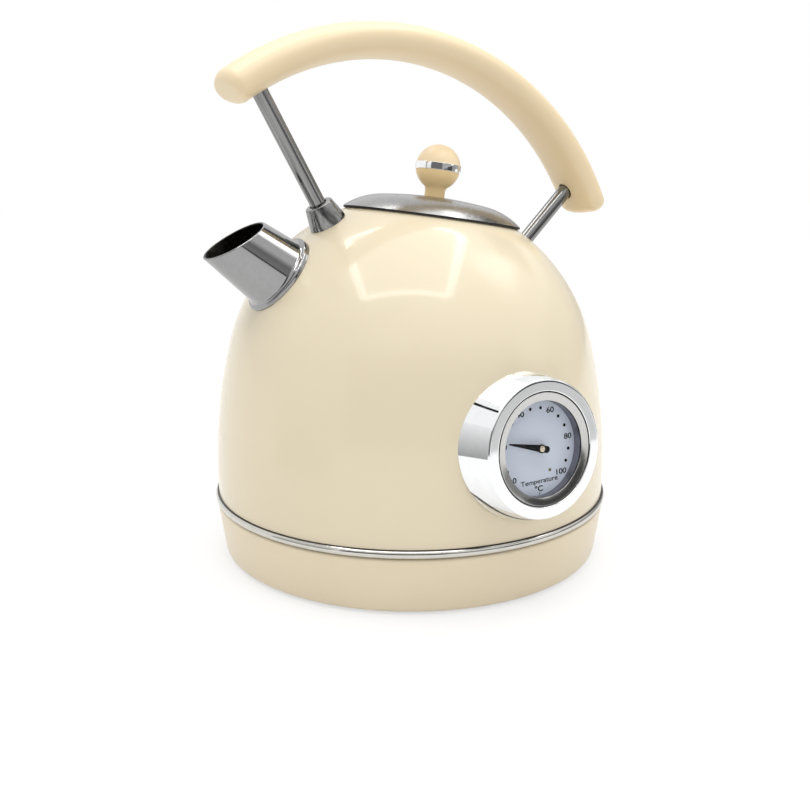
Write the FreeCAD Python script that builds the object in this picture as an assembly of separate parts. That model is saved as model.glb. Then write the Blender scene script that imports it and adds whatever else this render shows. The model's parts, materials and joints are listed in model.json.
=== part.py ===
import FreeCAD, Part
import math
import os

# A dome electric kettle on its power base: a painted steel body with a steel spout and lid,
# an arched handle on two steel posts, and a dial thermometer in its side.
# The origin is on the table under the middle of the base. +Z is up, the spout points along -X
# and the dial faces -Y. Lengths are in millimetres and angles in degrees.

V = FreeCAD.Vector

# Clearances
SEAT = 0.05             # between curved faces of one assembly that are seated on each other
FIT = 0.1               # radial room of a fixed round piece in its hole
RUN = 0.05              # radial room of a turning pin or shaft in its bearing
LOOSE = 0.5             # room round a piece that lifts out or swings free
EDGE_SHARE = 0.4        # largest rounding of an edge, as a share of the wall that it rounds

# Power base
BASE_H = 26.7           # table to the rim that the kettle stands on
BASE_SETBACK = 0.8      # how far the rim lies inside the trim bead
BASE_TAPER = 3.6        # radius that the wall loses down to the table
BASE_EDGE = 2.4         # rounding of the lower edge
BASE_LIP_EDGE = 1.2     # rounding of the upper edge
BASE_WALL = 3.0
BASE_LIFT = 1.0         # wall's lower edge above the table
LIP_W = 8.0             # width of the rim around the sunk deck
DECK_DROP = 2.0
FLOOR_T = 2.5           # closing plate under the base
FOOT_INSET = 14.0       # from the base's lower edge in to the foot ring
FOOT_W = 8.0
FOOT_SINK = 0.7
BOSS_R = 4.5
BOSS_CIRCLE_R = 60.0
BOSS_COUNT = 3
BOSS_START = 60.0       # first boss, round from the back

# Screws of the base and of the kettle's bottom
SCREW_R = 1.5
SCREW_HEAD_R = 3.0
SCREW_HEAD_T = 1.3
SCREW_BITE = 9.0        # length held in the boss

# Cordless connector in the middle of the base
CONNECTOR_R = 18.0
CONNECTOR_H = 12.0      # above the deck
CONNECTOR_FLANGE = 5.0
CONNECTOR_FLANGE_T = 2.5
GROOVE_R = 10.8         # middle of the ring groove
GROOVE_W = 5.0
GROOVE_DEPTH = 9.0
CONTACT_T = 0.8
CONTACT_H = 6.0
CONTACT_ROOM = 0.75     # between the base's contacts and the kettle's

# Cord inlet at the back of the base
GLAND_Z = 11.0
GLAND_BORE_R = 3.4
GLAND_WALL = 1.6
GLAND_FLANGE = 2.0
GLAND_FLANGE_T = 2.5
GLAND_NECK_L = 12.0     # length of the neck inside the wall

# Kettle's lower trim bead
KETTLE_GAP = 0.3        # between the base's rim and the kettle
TRIM_BEAD = 2.0
TRIM_PROUD = 1.7
TRIM_DEPTH = 4.0

# Dome body
CROWN_R = 91.0          # sphere of the upper body
CROWN_RISE = 50.5       # sphere's centre above the wall's lower edge
FLANK_R = 260.0         # slow curve of the lower wall
SKIRT_FLARE = 5.3       # how much wider than the sphere the wall is at its lower edge
SHELL_WALL = 1.2

# Kettle's underside and heater
COVER_T = 2.0
SOCKET_WALL = 2.0
SOCKET_PIN_R = 2.6
SOCKET_RING_T = 1.2
SOCKET_END_ROOM = 1.5   # kettle's contacts to the bottom of the base's groove
CONTROL_R = 24.0
CONTROL_H = 8.0
CONTROL_RIM = 2.4       # thickness of the control's two rims
CONTROL_WAIST = 4.8     # how far it is drawn in between them
DIFFUSER_T = 3.0
PLATE_T = 1.0
PLATE_SKIRT = 3.0
STUD_R = 3.2
STUD_INSET = 17.0       # from the heating plate's edge in to its studs
ELEMENT_R = 3.3
ELEMENT_INSET = 10.0    # from the diffuser's edge in to the element's ring
ELEMENT_ARC = 300.0
ELEMENT_TAIL_R = 1.8
ELEMENT_TAIL_L = 6.0

# Steam tube down to the switch
STEAM_R = 4.5
STEAM_WALL = 0.8
STEAM_RISE = 48.0       # tube's top above the sphere's centre
STEAM_GAP = 5.0         # tube to the wall at its top
DIFFUSER_GAP = 3.6      # diffuser to the tube

# Switch at the back
HOUSING_BACK = 6.0      # housing reaches this far past the steam tube's middle
HOUSING_LIP = 2.5
HOUSING_LIP_T = 1.6
HOUSING_WALL = 1.4      # above and below the lever
HOUSING_SIDE = 3.4      # beside the lever, where the pin is held
PIVOT_R = 1.5
PIVOT_DEPTH = 8.0       # pivot inside the wall's outer face
LEVER_HUB_R = 3.2
LEVER_ROOM = 0.8        # above and below the hub
LEVER_W = 12.0
LEVER_T = 3.0
LEVER_TIP_T = 2.4
LEVER_REACH = 13.0      # past the wall's outer face
LEVER_TILT = 7.0        # upward at rest, which is the off position
LENS_W = 6.0
LENS_L = 4.0
LENS_T = 0.8

# Spout
SPOUT_BASE_R = 17.0
SPOUT_TIP_R = 14.3
SPOUT_L = 24.9          # body to the middle of the mouth
SPOUT_CUT = 24.0        # slant of the mouth
SPOUT_DROOP = 2.5       # tube hangs forward of square to the body
SPOUT_WALL = 1.2
SPOUT_FLANGE = 2.4
SPOUT_FLANGE_T = 2.0
SPOUT_ROOT = 1.6        # rounding between tube and flange
STRAINER_T = 0.8
STRAINER_LAP = 3.0
STRAINER_HOLE_R = 1.5
STRAINER_PITCH = 5.0
STRAINER_RINGS = 2

# Handle and its posts
LID_TO_FRONT_POST = 5.3  # along the body from the lid's edge to the front ferrule
POST_TO_SPOUT = 6.0     # along the body from the front ferrule to the spout's flange
LID_TO_REAR_POST = 7.7  # along the body from the lid's edge to the rear collar
POST_R = 3.7
POST_TAIL = 12.0        # threaded length inside the body
POST_BORE_ROOM = 0.5    # radial room of a post in the handle's hole and in its ferrule
FERRULE_WALL = 2.3      # front ferrule's wall at its top
FERRULE_SPREAD = 2.3    # how much wider it is at the body
FERRULE_H = 9.6
FERRULE_EDGE = 0.8
COLLAR_WALL = 1.4       # rear post's low collar
COLLAR_SPREAD = 0.4
COLLAR_H = 2.2
NUT_FLATS = 13.0
NUT_T = 5.0
WASHER_R = 8.5
WASHER_T = 1.5
HANDLE_R = 133.0        # middle line of the arch
HANDLE_FORWARD = 13.0   # arch's centre ahead of the body's axis
HANDLE_RISE = 27.0      # arch's centre above the sphere's centre
HANDLE_W = 29.0
HANDLE_SIDE_R = 6.0
HANDLE_CROWN = 2.0      # how far the top and the underside swell past the rounded sides
HANDLE_END_R = 4.6
HANDLE_FRONT_OVERHANG = 13.6
HANDLE_REAR_OVERHANG = 17.2

# Lid and its knob
LID_TILT = 8.5          # towards the back
LID_LAP = 6.4           # over the mouth's edge
LID_RISE = 9.5
LID_FLATNESS = 1.85     # its top's radius as a share of a plain round cap's
LID_SHOULDER = 0.32     # its shoulder's radius as a share of the same
LID_WALL = 1.0
LID_GAP = 1.0           # lid's edge to the body
MOUTH_R = 37.0
NECK_DEPTH = 8.0
LINER_DEPTH = 10.0
LINER_WALL = 1.6
SEAL_T = 2.4
SEAL_GROOVE = 1.2
LIP_SHARE = 0.65        # of the gap under the lid's edge that its soft lip fills
KNOB_R = 10.8
KNOB_BAND_H = 3.4
KNOB_BAND_PROUD = 0.2
KNOB_STEM_R = 4.9
KNOB_STEM_L = 4.5       # between the lid and the ball
KNOB_NECK_ROUND = 1.8
KNOB_SCREW_R = 1.6
KNOB_SCREW_BITE = 5.4   # length held in the knob's cap
KNOB_SCREW_HEAD_R = 3.4
KNOB_SCREW_HEAD_T = 2.0

# Dial thermometer
GAUGE_RISE = 40.3       # above the wall's lower edge
GAUGE_TURN = 2.0        # round the body from square to the handle, towards the back
BEZEL_R = 29.3          # at the front
BEZEL_FLARE = 2.2       # how much wider it is at the wall
BEZEL_RIM = 5.1
BEZEL_ROUND = 1.0
BEZEL_BORE_ROUND = 0.4
BEZEL_FLOOR_W = 0.8     # bezel's inner floor above the wall
BEZEL_FLOOR_T = 1.2
CASE_WALL = 1.0
CASE_STEP = 1.4         # ledge that carries the dial
RING_SINK = 0.2         # retaining ring behind the bezel's front
RING_T = 0.8
RING_W = 3.45
RING_ROOM = 0.35        # groove between it and the bezel's bore
RING_SLOPE = 0.8        # its inner edge leans in towards the glass
GLASS_T = 0.7
DIAL_T = 0.6
SPACER_W = 2.8
GAUGE_STEM_R = 8.0
GAUGE_STEM_L = 14.0     # inside the wall's outer face
GAUGE_NUT_FLATS = 24.0
GAUGE_NUT_T = 5.0
GASKET_R = 13.0
GASKET_T = 4.0          # nut's face inside the wall's outer face
PROBE_R = 2.5
PROBE_L = 26.0
COIL_T = 0.6
COIL_W = 1.2
COIL_END_ROOM = 0.3     # coil to the case's floor and to the dial
COIL_HALF_TURNS = 8
SHAFT_R = 1.0
SHAFT_HEAD_R = 1.35
SHAFT_HEAD_T = 0.4
POINTER_END_ROOM = 3.0  # tip to the spacer round the dial
POINTER_TAIL = 2.7
POINTER_W = 3.0
POINTER_TIP_W = 0.6
POINTER_HUB_R = 1.9
POINTER_T = 0.4
POINTER_LIFT = 2.6      # above the dial
GLASS_ROOM = 0.3        # shaft's head to the glass
DIAL_START = 225.0      # 0 degrees C, clockwise from the top
DIAL_SWEEP = 270.0      # for 100 degrees C
POINTER_READS = 22.0    # degrees C at rest

# Heights and widths that follow from the sizes above
DECK_Z = BASE_H - DECK_DROP
DECK_UNDER_Z = DECK_Z - BASE_WALL
FLOOR_TOP_Z = BASE_LIFT + FLOOR_T
COVER_Z = BASE_H + KETTLE_GAP
TRIM_Z = COVER_Z + TRIM_BEAD
SKIRT_Z = TRIM_Z + TRIM_BEAD
CROWN_Z = SKIRT_Z + CROWN_RISE
CONNECTOR_TOP_Z = DECK_Z + CONNECTOR_H
SOCKET_CEILING_Z = CONNECTOR_TOP_Z + LOOSE
CONTROL_Z = SOCKET_CEILING_Z + SOCKET_WALL
DIFFUSER_Z = CONTROL_Z + CONTROL_H
PLATE_Z = DIFFUSER_Z + DIFFUSER_T
SLOT_H = 2 * (LEVER_HUB_R + LEVER_ROOM + HOUSING_WALL + FIT)
SLOT_W = LEVER_W + 2 * (LOOSE + HOUSING_SIDE + FIT)
SWITCH_Z = (SKIRT_Z + DIFFUSER_Z) / 2
GAUGE_Z = SKIRT_Z + GAUGE_RISE

# Radii that follow
SKIRT_R = CROWN_R + SKIRT_FLARE
TRIM_R = SKIRT_R + TRIM_PROUD
TRIM_INNER_R = TRIM_R - TRIM_BEAD - TRIM_DEPTH
BASE_TOP_R = TRIM_R - BASE_SETBACK
BASE_FOOT_R = BASE_TOP_R - BASE_TAPER
FOOT_R = BASE_FOOT_R - FOOT_INSET
SOCKET_BORE_R = CONNECTOR_R + LOOSE
SOCKET_R = SOCKET_BORE_R + SOCKET_WALL
PIN_BORE_R = SOCKET_PIN_R + CONTACT_ROOM + CONTACT_T + SEAT
GLAND_NECK_R = GLAND_BORE_R + GLAND_WALL
GLAND_FLANGE_R = GLAND_NECK_R + GLAND_FLANGE
LID_R = MOUTH_R + LID_LAP
HANDLE_T = 2 * (HANDLE_SIDE_R + HANDLE_CROWN)
POST_SLEEVE_R = POST_R + POST_BORE_ROOM
SPOUT_FLANGE_R = SPOUT_BASE_R + SPOUT_FLANGE
FERRULE_TOP_R = POST_SLEEVE_R + FERRULE_WALL
FERRULE_BASE_R = FERRULE_TOP_R + FERRULE_SPREAD
COLLAR_TOP_R = POST_SLEEVE_R + COLLAR_WALL
COLLAR_BASE_R = COLLAR_TOP_R + COLLAR_SPREAD
BEZEL_BORE_R = BEZEL_R - BEZEL_RIM
CASE_R = BEZEL_BORE_R - FIT
DIAL_R = CASE_R - CASE_WALL - FIT

CROWN = V(0, 0, CROWN_Z)
UP = V(0, 0, 1)


# Where the posts and the spout stand round the sphere, as leans from upright

def spanned(half_width):
    """Angle at the sphere's centre of a round piece's half width."""
    return math.degrees(math.asin(half_width / CROWN_R))


def stepped(length):
    """Angle at the sphere's centre of a length along the body."""
    return math.degrees(length / CROWN_R)


FRONT_POST_LEAN = LID_TILT - spanned(LID_R) - stepped(LID_TO_FRONT_POST) - spanned(FERRULE_BASE_R)
SPOUT_LEAN = FRONT_POST_LEAN - spanned(FERRULE_BASE_R) - stepped(POST_TO_SPOUT) - spanned(SPOUT_FLANGE_R)
REAR_POST_LEAN = LID_TILT + spanned(LID_R) + stepped(LID_TO_REAR_POST) + spanned(COLLAR_BASE_R)


# Shape tools

def rounded_wire(corners):
    """Closed wire in the XZ plane through (x, z) or (x, z, radius) corners, arcs at rounded corners."""
    spots = [V(c[0], 0, c[1]) for c in corners]
    radii = [c[2] if len(c) > 2 else 0 for c in corners]
    joins = []
    for i, spot in enumerate(spots):
        back = (spots[i - 1] - spot).normalize()
        ahead = (spots[(i + 1) % len(spots)] - spot).normalize()
        half = back.getAngle(ahead) / 2
        step = radii[i] / math.tan(half)
        middle = (back + ahead).normalize() * (radii[i] / math.sin(half) - radii[i]) if radii[i] else V()
        joins.append((spot + back * step, spot + middle, spot + ahead * step))
    edges = []
    for i, (start, middle, end) in enumerate(joins):
        before = joins[i - 1][2]
        if before.distanceToPoint(start) > 1e-6:
            edges.append(Part.LineSegment(before, start).toShape())
        if radii[i]:
            edges.append(Part.Arc(start, middle, end).toShape())
    return Part.Wire(edges)


def spin(corners):
    """Solid of revolution about Z of a profile given as for rounded_wire."""
    return Part.Face(rounded_wire(corners)).revolve(V(), UP, 360)


def rod(radius, low, high, x=0.0, y=0.0):
    return Part.makeCylinder(radius, high - low, V(x, y, low))


def tube(outer, inner, low, high, x=0.0, y=0.0):
    return rod(outer, low, high, x, y).cut(rod(inner, low, high, x, y))


def block(x0, x1, width, z0, z1):
    """Box that is centred on the XZ plane."""
    return Part.makeBox(x1 - x0, width, z1 - z0, V(x0, -width / 2, z0))


def hexagon(flats, low, high):
    reach = flats / math.sqrt(3)
    corners = [V(reach * math.cos(math.radians(60 * i)), reach * math.sin(math.radians(60 * i)), low)
               for i in range(7)]
    return Part.Face(Part.makePolygon(corners)).extrude(UP * (high - low))


def spread(shape, radius, count, start=0.0):
    """Copies of a shape that stands on the Z axis, moved out on a circle."""
    copies = []
    for i in range(count):
        copy = shape.copy()
        copy.translate(V(radius, 0, 0))
        copy.rotate(V(), UP, start + 360 * i / count)
        copies.append(copy)
    return copies


def leaning(shape, lean):
    """Turn a shape made on the Z axis about the sphere's centre: 0 is upright, positive leans back."""
    shape = shape.copy()
    shape.rotate(V(), V(0, 1, 0), lean)
    shape.translate(CROWN)
    return shape


def sphere(radius):
    """Ball about the origin, for pieces that are made on the Z axis and then leaned."""
    return Part.makeSphere(radius)


def sphere_height(radius, away):
    """Height of a ball's surface over a point that far from its axis."""
    return math.sqrt(radius ** 2 - away ** 2)


# Dome's outline: a sphere above, a slow arc below that meets it smoothly

FLANK_BACK = FLANK_R - CROWN_R
SKIRT_REACH = math.hypot(SKIRT_R, CROWN_RISE)
MEET_SHARE = (FLANK_R ** 2 - SKIRT_REACH ** 2 - FLANK_BACK ** 2) / (2 * FLANK_BACK)
MEET_ANGLE = math.acos(MEET_SHARE / SKIRT_REACH) - math.atan2(CROWN_RISE, SKIRT_R)
FLANK_X = -FLANK_BACK * math.cos(MEET_ANGLE)
FLANK_Z = CROWN_Z - FLANK_BACK * math.sin(MEET_ANGLE)


def wall_r(z, inset=0.0):
    """Radius of the wall at a height, for the outer face or a face inside it."""
    if z > CROWN_Z + (CROWN_R - inset) * math.sin(MEET_ANGLE):
        return math.sqrt((CROWN_R - inset) ** 2 - (z - CROWN_Z) ** 2)
    return FLANK_X + math.sqrt((FLANK_R - inset) ** 2 - (z - FLANK_Z) ** 2)


def dome(inset=0.0, floor=SKIRT_Z):
    """Solid inside the wall's outer face, or inside a face that far within it."""
    flank = FLANK_R - inset
    crown = CROWN_R - inset

    def on_flank(angle):
        return V(FLANK_X + flank * math.cos(angle), 0, FLANK_Z + flank * math.sin(angle))

    def on_crown(angle):
        return V(crown * math.cos(angle), 0, CROWN_Z + crown * math.sin(angle))

    low = math.asin((floor - FLANK_Z) / flank)
    foot = on_flank(low)
    meet = on_flank(MEET_ANGLE)
    top = on_crown(math.pi / 2)
    edges = [
        Part.LineSegment(V(0, 0, floor), foot).toShape(),
        Part.Arc(foot, on_flank((low + MEET_ANGLE) / 2), meet).toShape(),
        Part.Arc(meet, on_crown((MEET_ANGLE + math.pi / 2) / 2), top).toShape(),
        Part.LineSegment(top, V(0, 0, floor)).toShape(),
    ]
    return Part.Face(Part.Wire(edges)).revolve(V(), UP, 360)


# Thermometer's place: square to the wall, turned a little off the dial's side

GAUGE_WALL_R = wall_r(GAUGE_Z)
GAUGE_PITCH = math.degrees(math.atan2(GAUGE_Z - FLANK_Z, GAUGE_WALL_R - FLANK_X))


def on_gauge(shape):
    """Place a shape made on the Z axis on the thermometer's axis, with Z = 0 at the wall."""
    shape = shape.copy()
    shape.rotate(V(), V(1, 0, 0), 90 - GAUGE_PITCH)
    shape.translate(V(0, -GAUGE_WALL_R, GAUGE_Z))
    shape.rotate(V(), UP, GAUGE_TURN)
    return shape


def off_gauge(shape):
    """Undo on_gauge, to cut a piece made on the Z axis to the body."""
    shape = shape.copy()
    shape.rotate(V(), UP, -GAUGE_TURN)
    shape.translate(V(0, GAUGE_WALL_R, -GAUGE_Z))
    shape.rotate(V(), V(1, 0, 0), GAUGE_PITCH - 90)
    return shape


# Distances along the thermometer's axis, from the wall out
CASE_BACK_W = BEZEL_FLOOR_W + BEZEL_FLOOR_T
CASE_FLOOR_W = CASE_BACK_W + CASE_WALL
COIL_LOW_W = CASE_FLOOR_W + COIL_END_ROOM
DIAL_BACK_W = COIL_LOW_W + COIL_W + COIL_END_ROOM
DIAL_FRONT_W = DIAL_BACK_W + DIAL_T
POINTER_LOW_W = DIAL_FRONT_W + POINTER_LIFT
POINTER_TOP_W = POINTER_LOW_W + POINTER_T
SHAFT_TOP_W = POINTER_TOP_W + SHAFT_HEAD_T
GLASS_BACK_W = SHAFT_TOP_W + GLASS_ROOM
GLASS_FRONT_W = GLASS_BACK_W + GLASS_T
RING_FRONT_W = GLASS_FRONT_W + RING_T
BEZEL_DEPTH = RING_FRONT_W + RING_SINK
NUT_FACE_W = -GASKET_T

STEP_R = CASE_R - CASE_WALL - CASE_STEP
POINTER_L = DIAL_R - SPACER_W - POINTER_END_ROOM


# Power base

def base_outer_r(z):
    return BASE_FOOT_R + BASE_TAPER * (z - BASE_LIFT) / (BASE_H - BASE_LIFT)


def base_envelope(grow=0.0):
    return spin([(0, BASE_LIFT), (BASE_FOOT_R + grow, BASE_LIFT), (BASE_TOP_R + grow, BASE_H), (0, BASE_H)])


def base_shell():
    shell = spin([
        (BASE_FOOT_R, BASE_LIFT, min(BASE_EDGE, 2 * EDGE_SHARE * BASE_WALL)),
        (BASE_TOP_R, BASE_H, BASE_LIP_EDGE),
        (BASE_TOP_R - LIP_W, BASE_H, EDGE_SHARE * DECK_DROP),
        (BASE_TOP_R - LIP_W - DECK_DROP, DECK_Z, EDGE_SHARE * DECK_DROP),
        (CONNECTOR_R + FIT, DECK_Z),
        (CONNECTOR_R + FIT, DECK_UNDER_Z),
        (base_outer_r(DECK_UNDER_Z) - BASE_WALL, DECK_UNDER_Z),
        (BASE_FOOT_R - BASE_WALL, BASE_LIFT),
    ])
    boss = tube(BOSS_R, SCREW_R, FLOOR_TOP_Z, DECK_UNDER_Z)
    shell = shell.fuse(spread(boss, BOSS_CIRCLE_R, BOSS_COUNT, BOSS_START))
    return shell.cut(gland_hole()).removeSplitter()


def gland_hole():
    return Part.makeCylinder(GLAND_NECK_R + FIT, 2 * BASE_WALL + BASE_TAPER,
                             V(base_outer_r(GLAND_Z) - BASE_WALL - BASE_TAPER, 0, GLAND_Z), V(1, 0, 0))


def base_plate():
    plate = spin([
        (0, BASE_LIFT),
        (BASE_FOOT_R - BASE_WALL - FIT, BASE_LIFT),
        (BASE_FOOT_R - BASE_WALL - FIT, FLOOR_TOP_Z),
        (0, FLOOR_TOP_Z),
    ])
    groove = tube(FOOT_R + FIT, FOOT_R - FOOT_W - FIT, 0, BASE_LIFT + FOOT_SINK)
    hole = rod(SCREW_R + FIT, BASE_LIFT, FLOOR_TOP_Z)
    pocket = rod(SCREW_HEAD_R + FIT, BASE_LIFT, BASE_LIFT + SCREW_HEAD_T)
    holes = spread(hole.fuse(pocket), BOSS_CIRCLE_R, BOSS_COUNT, BOSS_START)
    return plate.cut([groove] + holes)


def base_foot_ring():
    return tube(FOOT_R, FOOT_R - FOOT_W, 0, BASE_LIFT + FOOT_SINK)


def screw(head_low, bite_from):
    head = rod(SCREW_HEAD_R, head_low, head_low + SCREW_HEAD_T)
    shank = rod(SCREW_R - SEAT, head_low, bite_from + SCREW_BITE)
    return head.fuse(shank)


def base_screws():
    return Part.makeCompound(spread(screw(BASE_LIFT, FLOOR_TOP_Z), BOSS_CIRCLE_R, BOSS_COUNT, BOSS_START))


def base_connector():
    tower = rod(CONNECTOR_R, DECK_UNDER_Z - CONNECTOR_FLANGE_T, CONNECTOR_TOP_Z)
    flange = rod(CONNECTOR_R + CONNECTOR_FLANGE, DECK_UNDER_Z - CONNECTOR_FLANGE_T, DECK_UNDER_Z)
    groove_low = CONNECTOR_TOP_Z - GROOVE_DEPTH
    groove = tube(GROOVE_R + GROOVE_W / 2, GROOVE_R - GROOVE_W / 2, groove_low, CONNECTOR_TOP_Z)
    bore = rod(PIN_BORE_R, groove_low, CONNECTOR_TOP_Z)
    return tower.fuse(flange).cut([groove, bore]).removeSplitter()


def connector_contacts():
    low = CONNECTOR_TOP_Z - GROOVE_DEPTH
    outer = GROOVE_R + GROOVE_W / 2 - SEAT
    sleeve = PIN_BORE_R - SEAT
    return Part.makeCompound([
        tube(outer, outer - CONTACT_T, low, low + CONTACT_H),
        tube(sleeve, sleeve - CONTACT_T, low, low + CONTACT_H),
    ])


def cord_gland():
    face = base_outer_r(GLAND_Z)
    along = V(1, 0, 0)
    inner = face - BASE_WALL - GLAND_NECK_L
    flange = Part.makeCylinder(GLAND_FLANGE_R, GLAND_FLANGE_T + BASE_WALL, V(face - BASE_WALL, 0, GLAND_Z), along)
    flange = flange.cut(base_envelope(SEAT))
    neck = Part.makeCylinder(GLAND_NECK_R, face + GLAND_FLANGE_T - inner, V(inner, 0, GLAND_Z), along)
    bore = Part.makeCylinder(GLAND_BORE_R, face + GLAND_FLANGE_T - inner, V(inner, 0, GLAND_Z), along)
    return flange.fuse(neck).cut(bore).removeSplitter()


# Kettle's body

def body_shell():
    neck_low = sphere_height(CROWN_R, MOUTH_R) - NECK_DEPTH
    neck = leaning(tube(MOUTH_R + SHELL_WALL, MOUTH_R, neck_low, CROWN_R), LID_TILT)
    hollow = dome(SHELL_WALL).cut(neck)
    mouth = leaning(rod(MOUTH_R, neck_low, CROWN_R), LID_TILT)
    spout_hole = leaning(rod(spout_bore_r(CROWN_R), CROWN_R / 2, CROWN_R), SPOUT_LEAN)
    post_hole = rod(POST_R + FIT, CROWN_R / 2, CROWN_R)
    post_holes = [leaning(post_hole, lean) for lean in (FRONT_POST_LEAN, REAR_POST_LEAN)]
    gauge_hole = on_gauge(rod(GAUGE_STEM_R + FIT, -GAUGE_STEM_L, BEZEL_DEPTH))
    slot = block(SKIRT_R / 2, SKIRT_R + TRIM_PROUD, SLOT_W, SWITCH_Z - SLOT_H / 2, SWITCH_Z + SLOT_H / 2)
    shell = dome().cut(hollow)
    return shell.cut([mouth, spout_hole, gauge_hole, slot] + post_holes)


def trim_ring():
    middle = TRIM_R - TRIM_BEAD
    edges = [
        Part.LineSegment(V(TRIM_INNER_R, 0, SKIRT_Z), V(TRIM_INNER_R, 0, COVER_Z)).toShape(),
        Part.LineSegment(V(TRIM_INNER_R, 0, COVER_Z), V(middle, 0, COVER_Z)).toShape(),
        Part.Arc(V(middle, 0, COVER_Z), V(TRIM_R, 0, TRIM_Z), V(middle, 0, SKIRT_Z)).toShape(),
        Part.LineSegment(V(middle, 0, SKIRT_Z), V(TRIM_INNER_R, 0, SKIRT_Z)).toShape(),
    ]
    return Part.Face(Part.Wire(edges)).revolve(V(), UP, 360)


# Heater and underside

PLATE_R = wall_r(PLATE_Z + PLATE_T, SHELL_WALL) - FIT
STUD_CIRCLE_R = PLATE_R - STUD_INSET
STEAM_TOP_Z = CROWN_Z + STEAM_RISE
STEAM_X = wall_r(STEAM_TOP_Z, SHELL_WALL) - STEAM_GAP - STEAM_R
DIFFUSER_R = STEAM_X - STEAM_R - DIFFUSER_GAP
ELEMENT_RING_R = DIFFUSER_R - ELEMENT_INSET
HOUSING_TOP_Z = SWITCH_Z + SLOT_H / 2 - FIT


def heating_plate():
    skirt_low = PLATE_Z - PLATE_SKIRT
    plate = spin([
        (0, PLATE_Z),
        (PLATE_R - PLATE_T, PLATE_Z),
        (PLATE_R - PLATE_T, skirt_low),
        (PLATE_R, skirt_low),
        (PLATE_R, PLATE_Z + PLATE_T, EDGE_SHARE * PLATE_T),
        (0, PLATE_Z + PLATE_T),
    ])
    stud = tube(STUD_R, SCREW_R, COVER_Z + COVER_T, PLATE_Z)
    plate = plate.fuse(spread(stud, STUD_CIRCLE_R, BOSS_COUNT, BOSS_START))
    return plate.cut(rod(STEAM_R + FIT, skirt_low, PLATE_Z + PLATE_T, STEAM_X)).removeSplitter()


def diffuser_plate():
    return spin([
        (0, DIFFUSER_Z),
        (DIFFUSER_R, DIFFUSER_Z, EDGE_SHARE * DIFFUSER_T),
        (DIFFUSER_R, PLATE_Z),
        (0, PLATE_Z),
    ])


def heating_element():
    middle_z = DIFFUSER_Z - ELEMENT_R - SEAT
    start = (360 - ELEMENT_ARC) / 2
    circle = Part.Wire(Part.Circle(V(ELEMENT_RING_R, 0, middle_z), V(0, 1, 0), ELEMENT_R).toShape())
    ring = Part.Face(circle).revolve(V(), UP, ELEMENT_ARC)
    ring.rotate(V(), UP, start)
    return ring


def element_pins():
    low = DIFFUSER_Z - 2 * ELEMENT_R - SEAT - ELEMENT_TAIL_L
    pins = []
    for side in (1, -1):
        angle = math.radians(side * ((360 - ELEMENT_ARC) / 2 + math.degrees(ELEMENT_R / ELEMENT_RING_R)))
        x = ELEMENT_RING_R * math.cos(angle)
        y = ELEMENT_RING_R * math.sin(angle)
        pins.append(rod(ELEMENT_TAIL_R, low, DIFFUSER_Z - ELEMENT_R, x, y).cut(heating_element()))
    return Part.makeCompound(pins)


def control_unit():
    body = rod(CONTROL_R, CONTROL_Z, DIFFUSER_Z)
    waist = tube(CONTROL_R, CONTROL_R - CONTROL_WAIST, CONTROL_Z + CONTROL_RIM, DIFFUSER_Z - CONTROL_RIM)
    return body.cut(waist)


def kettle_socket():
    body = rod(SOCKET_R, COVER_Z, CONTROL_Z)
    return body.cut(rod(SOCKET_BORE_R, COVER_Z, SOCKET_CEILING_Z))


def socket_contacts():
    low = CONNECTOR_TOP_Z - GROOVE_DEPTH + SOCKET_END_ROOM
    ring_r = GROOVE_R + SOCKET_RING_T / 2 - CONTACT_T / 2
    pin = rod(SOCKET_PIN_R, low + SOCKET_PIN_R, SOCKET_CEILING_Z)
    tip = Part.makeSphere(SOCKET_PIN_R, V(0, 0, low + SOCKET_PIN_R))
    ring = tube(ring_r, ring_r - SOCKET_RING_T, low, SOCKET_CEILING_Z)
    return Part.makeCompound([pin.fuse(tip).removeSplitter(), ring])


def bottom_cover():
    cover = tube(TRIM_INNER_R - FIT, SOCKET_R + FIT, COVER_Z, COVER_Z + COVER_T)
    hole = rod(SCREW_R + FIT, COVER_Z, COVER_Z + COVER_T)
    pocket = rod(SCREW_HEAD_R + FIT, COVER_Z, COVER_Z + SCREW_HEAD_T)
    return cover.cut(spread(hole.fuse(pocket), STUD_CIRCLE_R, BOSS_COUNT, BOSS_START))


def bottom_screws():
    return Part.makeCompound(spread(screw(COVER_Z, COVER_Z + COVER_T), STUD_CIRCLE_R, BOSS_COUNT, BOSS_START))


def steam_tube():
    return tube(STEAM_R, STEAM_R - STEAM_WALL, HOUSING_TOP_Z, STEAM_TOP_Z, STEAM_X)


# Switch

SWITCH_WALL_X = wall_r(SWITCH_Z)
PIVOT_X = SWITCH_WALL_X - PIVOT_DEPTH


def across(radius, width, x, z):
    """Cylinder along Y, centred on the XZ plane."""
    return Part.makeCylinder(radius, width, V(x, -width / 2, z), V(0, 1, 0))


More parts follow.
